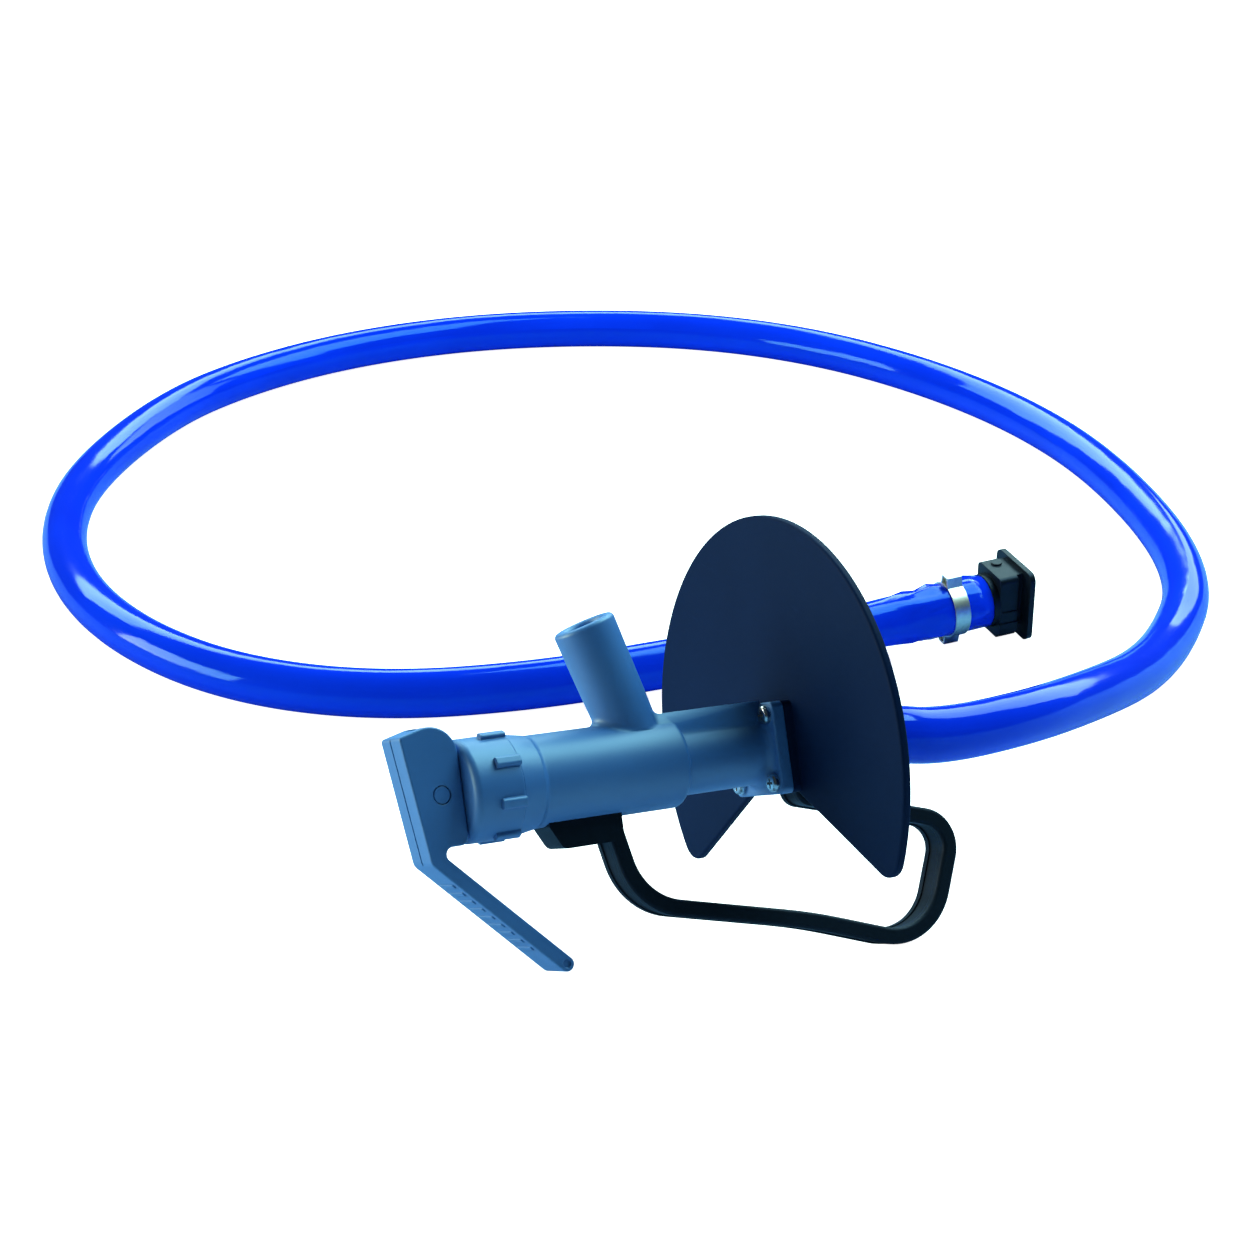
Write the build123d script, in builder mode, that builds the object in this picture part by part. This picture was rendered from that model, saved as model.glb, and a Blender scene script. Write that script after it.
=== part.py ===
"""Lever-valve hose gun with a splash shield, a loop handle and its hose.

Each gun piece is modelled along the gun's own axis: X runs from the lever to the hose, Z is up towards the
spout, and X = 0 is the rear face of the body's flange. The gun is then laid down as it rests, leaning over on
its loop handle, and the hose is laid from its tail round the floor. All sizes are millimetres and degrees.
"""

import os
from math import cos, radians, sin, tan

from build123d import *

os.makedirs("parts", exist_ok=True)

# Rest pose of the gun
rest_lean = 26.5
rest_nose_up = 5.5

# Clearances
seat_gap = 0.05
running_gap = 0.05
loose_gap = 0.25
lever_gap = 0.5

# Body moulding
barrel_od = 39.0
collar_step = 0.3
collar_length = 10.5
barrel_length = 69.5
barrel_shoulder_fillet = 3.0
neck_root_fillet = 1.4
neck_od = 30.0
neck_length = 41.2
neck_bore = 17.0
chamber_bore = 28.0
chamber_end_wall = 4.5
seat_lip_height = 1.5
seat_lip_width = 2.0
thread_od = 37.6
thread_length = 14.5
flange_side = 40.0
flange_thickness = 5.5
flange_corner = 3.0
flange_edge_round = 0.8
neck_foot_fillet = 3.4
rib_width = 20.0
rib_top = 21.2
rib_round = 1.6
spout_od = 24.9
spout_flare = 1.0
spout_bore = 17.0
spout_socket_depth = 30.0
spout_throat = 14.0
spout_reach = 66.4
spout_lean = 17.7
spout_behind_shoulder = 13.2
spout_rim_round = 2.0
spout_foot_fillet = 3.0

# Cap nut and gland
cap_wall = 2.75
cap_front_round = 3.2
cap_back_round = 0.4
cap_front_wall = 4.2
cap_rib_count = 8
cap_rib_length = 11.0
cap_rib_width = 4.4
cap_rib_height = 2.0
cap_rib_turn = 18.0
cap_rib_round = 1.2
gland_flange_thickness = 3.4
gland_boss_length = 8.0
gland_ring_section = 2.6
stem_seal_wall = 2.4
stem_seal_length = 2.6

# Stem, plug and spring
stem_diameter = 8.0
stem_eye_od = 12.0
stem_eye_thickness = 8.4
stud_diameter = 5.0
plug_od = 24.0
plug_thickness = 6.0
plug_seat_gap = 0.2
cup_od = 23.0
cup_thickness = 2.0
cup_rim_height = 2.0
cup_rim_wall = 1.0
nut_across_flats = 8.0
nut_thickness = 4.0
spring_mean_diameter = 15.0
spring_wire = 1.8
spring_turns = 6
spring_end_gap = 0.2

# Lever and pin, measured from the pin
lever_width = 20.0
lever_face = 9.3
lever_front_top = 15.7
lever_brow = 25.2
lever_top_slope = 14.4
lever_crown_round = 12.0
lever_brow_round = 1.5
lever_heel = 21.5
lever_heel_round = 3.5
lever_crook_round = 3.0
lever_bend_front = 8.3
lever_bend_drop = 27.7
lever_bend_round = 5.0
lever_arm_angle = 44.3
lever_travel = 24.0
lever_arm_length = 76.0
lever_arm_thickness = 6.4
lever_edge_round = 0.8
lever_slot_width = 9.2
lever_slot_front_gap = 0.7
lever_tip_dimple = 3.6
lever_tip_dimple_depth = 0.7
lever_tip_dimple_inset = 3.6
mould_line_width = 1.0
mould_line_depth = 0.5
grip_bar_count = 9
grip_bar_pitch = 5.4
grip_bar_width = 2.0
grip_bar_height = 0.5
grip_bar_length = 13.0
grip_bar_start = 14.0
pin_diameter = 5.0
pin_head_diameter = 7.0
pin_head_thickness = 1.8
pin_recess_diameter = 8.0
pin_recess_depth = 2.0

# Splash shield
shield_diameter = 203.0
shield_thickness = 4.0
shield_pad_thickness = 4.3
shield_edge_round = 1.2
notch_drop = 18.2
notch_near_start = 12.2
notch_far_start = 22.2
notch_near_slope = 32.6
notch_far_slope = 26.6
notch_root_round = 3.0
lobe_round = 10.0

# Loop handle
handle_width = 16.5
handle_thickness = 7.3
handle_edge_round = 1.6
handle_channel_width = 8.0
handle_channel_depth = 0.6
handle_plate_side = 38.0
handle_root_run = 3.8
handle_rear_x = 88.5
handle_rear_top = 43.8
handle_heel_x = 67.3
handle_heel_drop = 96.2
handle_bar_x = 7.8
handle_bar_drop = 76.2
handle_front_x = -73.8
handle_front_drop = 57.3
handle_root_bend = 4.6
handle_rear_bend = 14.0
handle_heel_bend = 26.0
handle_bar_bend = 300.0
handle_front_bend = 30.0
pad_length = 34.0
pad_drop = 9.9
pad_front_rake = 5.5
pad_nose_round = 4.0
pad_strip_lean = 7.6
pad_screw_spacing = 10.0
pad_screw_setback = 12.0
pad_screw_bite = 3.6
pad_screw_sink = 4.2

# Screws of the flange stack
screw_diameter = 4.0
screw_hole = 4.4
screw_spacing = 29.4
screw_head_diameter = 8.0
screw_head_height = 3.0
screw_head_round = 1.4
screw_tip = 1.5
stack_nut_across_flats = 7.0
stack_nut_thickness = 3.2
washer_od = 8.6
washer_thickness = 0.8
drive_diameter = 4.4
drive_slot = 1.0
drive_depth = 1.6

# Hose tail
tail_spigot_od = 22.0
tail_flange_thickness = 5.0
tail_bore = 14.0
tail_gasket_thickness = 2.0
tail_socket_depth = 3.5
tail_barb_length = 22.0
barb_count = 3
barb_relief = 0.9
barb_tip_land = 3.0

# Hose, clamps and connector
hose_od = 26.0
hose_bore = 19.0
hose_stand_off = 2.5
hose_first_run = 36.0
hose_stretch = 3.2
hose_stretch_margin = 2.0
hose_stretch_taper = 34.0
clamp_band_width = 9.0
clamp_band_thickness = 0.9
clamp_ear_height = 6.0
clamp_ear_root = 8.5
clamp_ear_slope = 78.0
tail_clamp_setback = 7.0
connector_clamp_setback = 15.0
connector_barb_length = 32.0
connector_roll = 5.0
connector_collar_step = 0.4
connector_collar_length = 4.0
connector_block_width = 26.0
connector_block_height = 36.5
connector_block_length = 15.0
connector_block_round = 3.0
connector_neck_length = 4.0
connector_notch_depth = 5.0
connector_plate_width = 38.0
connector_plate_height = 41.5
connector_plate_thickness = 3.2
connector_plate_corner = 5.0
connector_bore = 14.0
connector_boss = 6.0
connector_boss_height = 0.9
connector_boss_aside = 6.0
connector_boss_setback = 3.6
connector_steps = 2
connector_step_out = 0.7
connector_step_height = 6.5
connector_seal_od = 22.0
connector_seal_section = 2.4
connector_seal_depth = 1.6
connector_seal_sink = 0.05

# Places along the gun's axis, worked out from the sizes above
spigot_hole = tail_spigot_od + 2 * loose_gap
disc_front = shield_pad_thickness
plate_front = disc_front + shield_thickness
tail_front = plate_front + handle_thickness
tail_back = tail_front + tail_flange_thickness
neck_front = -flange_thickness - neck_length
collar_back = neck_front - barrel_length
cap_back = collar_back - collar_length
thread_front = cap_back - thread_length
cap_wall_back = thread_front - gland_flange_thickness
cap_front = cap_wall_back - cap_front_wall
chamber_back = neck_front - chamber_end_wall
seat_face = chamber_back - seat_lip_height
gland_back = thread_front + gland_boss_length
plug_back = seat_face - plug_seat_gap
plug_front = plug_back - plug_thickness
cup_front = plug_front - cup_thickness
pin_x = cap_front - lever_gap - lever_face
rod_swing = lever_face * tan(radians(lever_travel)) + stem_diameter / 2 / cos(radians(lever_travel))
lever_slot_floor = max(rod_swing, stem_eye_od / 2) + lever_gap
spout_x = neck_front - spout_behind_shoulder
thread_bore = thread_od + 2 * loose_gap
cap_body_od = thread_bore + 2 * cap_wall
collar_front_od = cap_body_od - 2 * collar_step
collar_back_od = barrel_od + 2 * collar_step
neck_step = (barrel_od - neck_od) / 2
shoulder_round = min(barrel_shoulder_fillet, 0.66 * neck_step)
neck_root_round = min(neck_root_fillet, 0.32 * neck_step)
neck_foot_od = flange_side - 2 * flange_edge_round
neck_foot_round = min(neck_foot_fillet, 0.9 * (neck_foot_od - neck_od) / 2)
stem_hole = stem_diameter + 2 * running_gap
stem_end = plug_back + nut_thickness + screw_tip
pad_top = barrel_od / 2
pad_bottom = pad_top + pad_drop
pad_back_x = handle_front_x - pad_strip_lean + handle_thickness / 2
pad_front_x = pad_back_x - pad_length
pad_screw_seat = pad_bottom - pad_screw_sink
pad_screw_depth = pad_screw_seat - pad_top + pad_screw_bite
pad_screw_plane = Plane.XY.offset(-pad_screw_seat)
pad_screw_places = [
    (pad_front_x + pad_screw_setback, 0),
    (pad_front_x + pad_screw_setback + pad_screw_spacing, 0),
]


def across_flats_radius(flats):
    """Corner radius of a hexagon from its width across flats."""
    return flats / 2 / cos(radians(30))


# Body moulding: revolved barrel and neck, spout, top rib and flange
spout_along = (-sin(radians(spout_lean)), 0, cos(radians(spout_lean)))
spout_axis = Axis((spout_x, 0, 0), spout_along)
spout_side = Plane(origin=(spout_x, 0, 0), x_dir=spout_along, z_dir=(0, -1, 0))
spout_mouth_od = spout_od + 2 * spout_reach * tan(radians(spout_flare))
spout_shoulder = spout_reach - spout_socket_depth
with BuildPart() as valve_body:
    with BuildSketch(Plane.YZ):
        RectangleRounded(flange_side, flange_side, flange_corner)
    extrude(amount=-flange_thickness)
    fillet(valve_body.faces().sort_by(Axis.X)[0].edges(), flange_edge_round)
    with BuildSketch():
        with BuildLine():
            FilletPolyline(
                (thread_front, 0),
                (thread_front, thread_od / 2),
                (cap_back, thread_od / 2),
                (cap_back, collar_front_od / 2),
                (collar_back, collar_back_od / 2),
                (collar_back, barrel_od / 2),
                (neck_front, barrel_od / 2),
                (neck_front, neck_od / 2),
                (-flange_thickness, neck_od / 2),
                (-flange_thickness, neck_foot_od / 2),
                (0, neck_foot_od / 2),
                (0, 0),
                radius=[0, 0, 0, 0, 0, 0, shoulder_round, neck_root_round, neck_foot_round, 0, 0, 0],
                close=True,
            )
        make_face()
    revolve(axis=Axis.X)
    with BuildSketch(Plane.YZ.offset(-flange_thickness)) as rib:
        Circle(neck_od / 2)
        with Locations((0, rib_top / 2)):
            Rectangle(rib_width, rib_top)
        corners = [corner for corner in rib.vertices() if abs(abs(corner.Y) - rib_width / 2) < seat_gap]
        fillet(corners, rib_round)
    extrude(amount=spout_x + flange_thickness)
    with BuildSketch(spout_side):
        with BuildLine():
            FilletPolyline(
                (0, 0),
                (0, spout_od / 2),
                (spout_reach, spout_mouth_od / 2),
                (spout_reach, 0),
                radius=[0, 0, spout_rim_round, 0],
                close=True,
            )
        make_face()
    revolve(axis=spout_axis)
    fillet(valve_body.edges(Select.NEW), spout_foot_fillet)
    with BuildSketch():
        with BuildLine():
            Polyline(
                (thread_front, 0),
                (thread_front, chamber_bore / 2),
                (chamber_back, chamber_bore / 2),
                (chamber_back, neck_bore / 2 + seat_lip_width),
                (seat_face, neck_bore / 2 + seat_lip_width),
                (seat_face, neck_bore / 2),
                (-tail_socket_depth, neck_bore / 2),
                (-tail_socket_depth, spigot_hole / 2),
                (0, spigot_hole / 2),
                (0, 0),
                close=True,
            )
        make_face()
    revolve(axis=Axis.X, mode=Mode.SUBTRACT)
    with BuildSketch(spout_side):
        with BuildLine():
            FilletPolyline(
                (chamber_bore / 4, 0),
                (chamber_bore / 4, spout_throat / 2),
                (spout_shoulder, spout_throat / 2),
                (spout_shoulder, spout_bore / 2),
                (spout_reach, spout_bore / 2),
                (spout_reach, spout_mouth_od / 2),
                (spout_reach + spout_rim_round, spout_mouth_od / 2),
                (spout_reach + spout_rim_round, 0),
                radius=[0, 0, 0, 0, spout_rim_round, 0, 0, 0],
                close=True,
            )
        make_face()
    revolve(axis=spout_axis, mode=Mode.SUBTRACT)
    with Locations(Plane.YZ):
        with GridLocations(screw_spacing, screw_spacing, 2, 2):
            Hole(screw_hole / 2)
    with BuildSketch(Plane.YZ.offset(-flange_thickness)):
        with GridLocations(screw_spacing, screw_spacing, 2, 2):
            Circle(screw_head_diameter / 2 + loose_gap)
    extrude(amount=-2 * screw_head_height, mode=Mode.SUBTRACT)
    with BuildSketch(pad_screw_plane):
        with Locations(*pad_screw_places):
            Circle(screw_diameter / 2 + seat_gap)
    extrude(amount=pad_screw_depth + seat_gap, mode=Mode.SUBTRACT)
valve_body.part.label = "valve_body"

# Cap nut: revolved shell with a rounded front and grip ribs
with BuildPart() as cap_nut:
    with BuildSketch():
        with BuildLine():
            FilletPolyline(
                (cap_front, stem_hole / 2 + loose_gap),
                (cap_front, cap_body_od / 2),
                (cap_back, cap_body_od / 2),
                (cap_back, thread_bore / 2),
                (cap_wall_back, thread_bore / 2),
                (cap_wall_back, stem_hole / 2 + loose_gap),
                radius=[0, cap_front_round, cap_back_round, 0, 0, 0],
                close=True,
            )
        make_face()
    revolve(axis=Axis.X)
    with BuildSketch(Plane.YZ.offset(cap_back)):
        with PolarLocations(cap_body_od / 2, cap_rib_count, start_angle=cap_rib_turn):
            RectangleRounded(2 * cap_rib_height, cap_rib_width, cap_rib_round)
        Circle(thread_bore / 2 + loose_gap, mode=Mode.SUBTRACT)
    extrude(amount=-cap_rib_length)
cap_nut.part.label = "cap_nut"

# Gland bush: flange under the cap, boss in the chamber, grooves for its two seals
gland_groove_mid = thread_front + gland_boss_length / 2
with BuildPart() as gland_bush:
    with BuildSketch():
        with BuildLine():
            Polyline(
                (cap_wall_back, stem_hole / 2 + stem_seal_wall),
                (cap_wall_back, thread_od / 2 - loose_gap),
                (thread_front, thread_od / 2 - loose_gap),
                (thread_front, chamber_bore / 2 - seat_gap),
                (gland_groove_mid - gland_ring_section / 2, chamber_bore / 2 - seat_gap),
                (gland_groove_mid - gland_ring_section / 2, chamber_bore / 2 - gland_ring_section),
                (gland_groove_mid + gland_ring_section / 2, chamber_bore / 2 - gland_ring_section),
                (gland_groove_mid + gland_ring_section / 2, chamber_bore / 2 - seat_gap),
                (gland_back, chamber_bore / 2 - seat_gap),
                (gland_back, stem_hole / 2),
                (cap_wall_back + stem_seal_length, stem_hole / 2),
                (cap_wall_back + stem_seal_length, stem_hole / 2 + stem_seal_wall),
                close=True,
            )
        make_face()
    revolve(axis=Axis.X)
gland_bush.part.label = "gland_bush"

with BuildPart() as gland_o_ring:
    with BuildSketch():
        with Locations((gland_groove_mid, chamber_bore / 2 - gland_ring_section / 2)):
            Circle(gland_ring_section / 2 - seat_gap)
    revolve(axis=Axis.X)
gland_o_ring.part.label = "gland_o_ring"

with BuildPart() as stem_seal:
    with BuildSketch(Plane.YZ.offset(cap_wall_back)):
        Circle(stem_hole / 2 + stem_seal_wall - seat_gap)
        Circle(stem_hole / 2, mode=Mode.SUBTRACT)
    extrude(amount=stem_seal_length)
stem_seal.part.label = "stem_seal"

# Valve stem: eye for the lever's pin, rod, and threaded stud for the plug
with BuildPart() as valve_stem:
    with BuildSketch():
        with BuildLine():
            Polyline(
                (pin_x, 0),
                (pin_x, stem_diameter / 2),
                (cup_front, stem_diameter / 2),
                (cup_front, stud_diameter / 2),
                (stem_end, stud_diameter / 2),
                (stem_end, 0),
                close=True,
            )
        make_face()
    revolve(axis=Axis.X)
    with BuildSketch(Plane.XZ):
        with Locations((pin_x, 0)):
            Circle(stem_eye_od / 2)
    extrude(amount=stem_eye_thickness / 2, both=True)
    with BuildSketch(Plane.XZ):
        with Locations((pin_x, 0)):
            Circle(pin_diameter / 2 + running_gap)
    extrude(amount=stem_eye_thickness, both=True, mode=Mode.SUBTRACT)
valve_stem.part.label = "valve_stem"

with BuildPart() as plug_cup:
    with BuildSketch(Plane.YZ.offset(cup_front)):
        Circle(cup_od / 2)
        Circle(stud_diameter / 2 + seat_gap, mode=Mode.SUBTRACT)
    extrude(amount=cup_thickness)
    with BuildSketch(Plane.YZ.offset(cup_front)):
        Circle(cup_od / 2)
        Circle(cup_od / 2 - cup_rim_wall, mode=Mode.SUBTRACT)
    extrude(amount=-cup_rim_height)
plug_cup.part.label = "plug_cup"

with BuildPart() as valve_plug:
    with BuildSketch(Plane.YZ.offset(plug_front)):
        Circle(plug_od / 2)
        Circle(stud_diameter / 2 + seat_gap, mode=Mode.SUBTRACT)
    extrude(amount=plug_thickness)
valve_plug.part.label = "valve_plug"

with BuildPart() as plug_nut:
    with BuildSketch(Plane.YZ.offset(plug_back)):
        RegularPolygon(across_flats_radius(nut_across_flats), 6)
        Circle(stud_diameter / 2 + seat_gap, mode=Mode.SUBTRACT)
    extrude(amount=nut_thickness)
plug_nut.part.label = "plug_nut"

# Return spring: one coil between the gland and the cup
spring_front = gland_back + spring_end_gap + spring_wire / 2
spring_back = cup_front - spring_end_gap - spring_wire / 2
with BuildPart() as return_spring:
    with BuildLine() as coil:
        Helix(
            (spring_back - spring_front) / spring_turns,
            spring_back - spring_front,
            spring_mean_diameter / 2,
            center=(spring_front, 0, 0),
            direction=(1, 0, 0),
        )
    with BuildSketch(Plane(coil.line @ 0, z_dir=coil.line % 0)):
        Circle(spring_wire / 2)
    sweep(is_frenet=True)
return_spring.part.label = "return_spring"

# Lever: forked block above a straight arm, drawn round its pin
arm_angle = radians(lever_arm_angle)
arm_along = Vector(cos(arm_angle), -sin(arm_angle))
arm_across = Vector(sin(arm_angle), cos(arm_angle))
arm_root = Vector(-lever_bend_front, -lever_bend_drop)
arm_tip = arm_root + arm_along * lever_arm_length
arm_back = arm_root + arm_across * lever_arm_thickness
arm_back_tip = arm_tip + arm_across * lever_arm_thickness
crook_x = arm_back.X - (arm_back.Y + lever_heel) / -tan(arm_angle)
crown = lever_brow + (lever_face + lever_front_top) * tan(radians(lever_top_slope))
tip_round = lever_arm_thickness / 2 - seat_gap
slot_front = stem_eye_od / 2 + lever_slot_front_gap
dimple_place = arm_tip - arm_along * lever_tip_dimple_inset + arm_across * lever_arm_thickness / 2
lever_plane = Plane(origin=(pin_x, 0, 0), x_dir=(1, 0, 0), z_dir=(0, -1, 0))
grip_plane = Plane(
    origin=lever_plane.from_local_coords(arm_root + arm_along * grip_bar_start),
    x_dir=(arm_along.X, 0, arm_along.Y),
    z_dir=(-arm_across.X, 0, -arm_across.Y),
)
with BuildPart() as lever:
    with BuildSketch(lever_plane):
        with BuildLine():
            FilletPolyline(
                (-lever_front_top, lever_brow),
                (lever_face, crown),
                (lever_face, -lever_heel),
                (crook_x, -lever_heel),
                arm_back_tip,
                arm_tip,
                arm_root,
                radius=[
                    lever_brow_round,
                    lever_crown_round,
                    lever_heel_round,
                    lever_crook_round,
                    tip_round,
                    tip_round,
                    lever_bend_round,
                ],
                close=True,
            )
        make_face()
    extrude(amount=lever_width / 2, both=True)
    fillet(lever.faces().filter_by(Axis.Y).edges(), lever_edge_round)
    with BuildSketch(lever_plane):
        with Locations((-slot_front, -lever_slot_floor)):
            Rectangle(2 * (slot_front + lever_face), 2 * crown, align=(Align.MIN, Align.MIN))
    extrude(amount=lever_slot_width / 2, both=True, mode=Mode.SUBTRACT)
    with BuildSketch(lever_plane):
        Circle(pin_diameter / 2 + seat_gap)
    extrude(amount=lever_width, both=True, mode=Mode.SUBTRACT)
    for side in (-1, 1):
        with BuildSketch(lever_plane.offset(side * lever_width / 2)):
            Circle(pin_recess_diameter / 2)
        extrude(amount=-side * pin_recess_depth, mode=Mode.SUBTRACT)
        with BuildSketch(lever_plane.offset(side * lever_width / 2)):
            with Locations(dimple_place):
                Circle(lever_tip_dimple / 2)
        extrude(amount=-side * lever_tip_dimple_depth, mode=Mode.SUBTRACT)
    with BuildSketch(lever_plane):
        Polygon(
            (-lever_front_top, lever_brow),
            arm_root,
            arm_root + Vector(mould_line_depth, 0),
            (-lever_front_top + mould_line_depth, lever_brow),
            align=None,
        )
    extrude(amount=mould_line_width / 2, both=True, mode=Mode.SUBTRACT)
    with BuildSketch(grip_plane):
        with Locations((grip_bar_pitch * (grip_bar_count - 1) / 2, 0)):
            with GridLocations(grip_bar_pitch, 0, grip_bar_count, 1):
                Rectangle(grip_bar_width, grip_bar_length)
    extrude(amount=grip_bar_height)
lever.part.label = "lever"

with BuildPart() as lever_pin:
    with BuildSketch(lever_plane):
        Circle(pin_diameter / 2)
    extrude(amount=lever_width / 2 - pin_recess_depth, both=True)
    for side in (-1, 1):
        with BuildSketch(lever_plane.offset(side * (lever_width / 2 - pin_recess_depth))):
            Circle(pin_head_diameter / 2)
        extrude(amount=side * pin_head_thickness)
lever_pin.part.label = "lever_pin"

# Splash shield: notched disc on a square pad
notch_reach = shield_diameter
near_fall = notch_drop + notch_reach * tan(radians(notch_near_slope))
far_fall = notch_drop + notch_reach * tan(radians(notch_far_slope))
with BuildSketch() as notch:
    with BuildLine():
        FilletPolyline(
            (-notch_near_start - notch_reach, -near_fall),
            (-notch_near_start, -notch_drop),
            (notch_far_start, -notch_drop),
            (notch_far_start + notch_reach, -far_fall),
            radius=[0, notch_root_round, notch_root_round, 0],
            close=True,
        )
    make_face()
with BuildPart() as splash_shield:
    with BuildSketch(Plane.YZ.offset(disc_front)) as disc:
        Circle(shield_diameter / 2)
        add(notch.sketch, mode=Mode.SUBTRACT)
        fillet(disc.vertices().sort_by_distance((disc_front, 0, 0))[-2:], lobe_round)
    extrude(amount=shield_thickness)
    fillet(splash_shield.faces().filter_by(Axis.X).edges(), shield_edge_round)
    with BuildSketch(Plane.YZ):
        RectangleRounded(flange_side, flange_side, flange_corner)
        add(notch.sketch, mode=Mode.SUBTRACT)
    extrude(amount=disc_front)
    with Locations(Plane.YZ):
        Hole(spigot_hole / 2)
        with GridLocations(screw_spacing, screw_spacing, 2, 2):
            Hole(screw_hole / 2)
splash_shield.part.label = "splash_shield"

# Loop handle: clamped plate, swept strip and front pad
plate_mid = plate_front + handle_thickness / 2
strip_top_x = handle_front_x - pad_strip_lean
strip_top = pad_top + handle_thickness / 2
with BuildPart() as handle:
    with BuildLine(Plane.XZ) as strip_path:
        FilletPolyline(
            (plate_mid, -spigot_hole / 2),
            (plate_mid, -handle_plate_side / 2 - handle_root_run),
            (handle_rear_x, -handle_rear_top),
            (handle_heel_x, -handle_heel_drop),
            (handle_bar_x, -handle_bar_drop),
            (handle_front_x, -handle_front_drop),
            (strip_top_x, -strip_top),
            radius=[handle_root_bend, handle_rear_bend, handle_heel_bend, handle_bar_bend, handle_front_bend],
        )
    with BuildSketch(Plane(strip_path.line @ 0, x_dir=(0, 1, 0), z_dir=strip_path.line % 0)):
        RectangleRounded(handle_width, handle_thickness, handle_edge_round)
        with Locations((0, handle_thickness / 2), (0, -handle_thickness / 2)):
            Rectangle(handle_channel_width, 2 * handle_channel_depth, mode=Mode.SUBTRACT)
    sweep()
    with BuildSketch(Plane.YZ.offset(plate_front)):
        RectangleRounded(handle_plate_side, handle_plate_side, flange_corner)
    extrude(amount=handle_thickness)
    with BuildSketch(Plane.XZ):
        with BuildLine():
            FilletPolyline(
                (pad_front_x, 0),
                (pad_back_x, 0),
                (pad_back_x, -pad_bottom),
                (pad_front_x + pad_front_rake, -pad_bottom),
                (pad_front_x, -pad_top),
                radius=[0, 0, 0, pad_nose_round, 0],
                close=True,
            )
        make_face()
    extrude(amount=handle_width / 2, both=True)
    with BuildSketch(Plane.YZ.offset(pad_front_x)):
        Circle(barrel_od / 2)
    extrude(amount=pad_length, mode=Mode.SUBTRACT)
    with BuildSketch(pad_screw_plane):
        with Locations(*pad_screw_places):
            Circle(screw_hole / 2)
    extrude(amount=pad_screw_depth, mode=Mode.SUBTRACT)
    with BuildSketch(pad_screw_plane):
        with Locations(*pad_screw_places):
            Circle(screw_head_diameter / 2 + loose_gap)
    extrude(amount=-2 * pad_screw_sink, mode=Mode.SUBTRACT)
    with Locations(Plane.YZ):
        Hole(spigot_hole / 2)
        with GridLocations(screw_spacing, screw_spacing, 2, 2):
            Hole(screw_hole / 2)
handle.part.label = "handle"

with BuildPart() as handle_screws:
    with BuildSketch(pad_screw_plane):
        with Locations(*pad_screw_places):
            Circle(screw_diameter / 2)
    extrude(amount=pad_screw_depth)
    with BuildSketch(pad_screw_plane):
        with Locations(*pad_screw_places):
            Circle(screw_head_diameter / 2)
    extrude(amount=-screw_head_height)
    with BuildSketch(pad_screw_plane.offset(-screw_head_height)):
        with Locations(*pad_screw_places):
            RegularPolygon(drive_diameter / 2, 6)
    extrude(amount=drive_depth, mode=Mode.SUBTRACT)
handle_screws.part.label = "handle_screws"

# Flange stack: screws from the front, washers and nuts behind the tail
nut_front = tail_back + washer_thickness
nut_back = nut_front + stack_nut_thickness
head_front = -flange_thickness - screw_head_height
with BuildPart() as flange_screws:
    with BuildSketch(Plane.YZ.offset(-flange_thickness)):
        with GridLocations(screw_spacing, screw_spacing, 2, 2):
            Circle(screw_diameter / 2)
    extrude(amount=flange_thickness + nut_back + screw_tip)
    with BuildSketch(Plane.YZ.offset(-flange_thickness)):
        with GridLocations(screw_spacing, screw_spacing, 2, 2):
            Circle(screw_head_diameter / 2)
    extrude(amount=-screw_head_height)
    rims = flange_screws.edges().filter_by(GeomType.CIRCLE).group_by(Axis.X)[0]
    fillet(rims, screw_head_round)
    with BuildSketch(Plane.YZ.offset(head_front)):
        with GridLocations(screw_spacing, screw_spacing, 2, 2):
            Rectangle(drive_diameter, drive_slot)
            Rectangle(drive_slot, drive_diameter)
    extrude(amount=drive_depth, mode=Mode.SUBTRACT)
flange_screws.part.label = "flange_screws"

with BuildPart() as flange_washers:
    with BuildSketch(Plane.YZ.offset(tail_back)):
        with GridLocations(screw_spacing, screw_spacing, 2, 2):
            Circle(washer_od / 2)
            Circle(screw_diameter / 2 + seat_gap, mode=Mode.SUBTRACT)
    extrude(amount=washer_thickness)
flange_washers.part.label = "flange_washers"

with BuildPart() as flange_nuts:
    with BuildSketch(Plane.YZ.offset(nut_front)):
        with GridLocations(screw_spacing, screw_spacing, 2, 2):
            RegularPolygon(across_flats_radius(stack_nut_across_flats), 6)
            Circle(screw_diameter / 2 + seat_gap, mode=Mode.SUBTRACT)
    extrude(amount=stack_nut_thickness)
flange_nuts.part.label = "flange_nuts"


def barb_profile(start, bore, length):
    """Half-section points of a barbed spigot, along +X from start, its teeth facing back."""
    valley = bore / 2 - barb_relief
    ridge = bore / 2 - seat_gap
    pitch = (length - barb_tip_land) / barb_count
    points = [(start, valley)]
    for tooth in range(barb_count):
        foot = start + barb_tip_land + tooth * pitch
        points += [(foot, valley), (foot, ridge)]
    return points + [(start + length, valley)]


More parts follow.
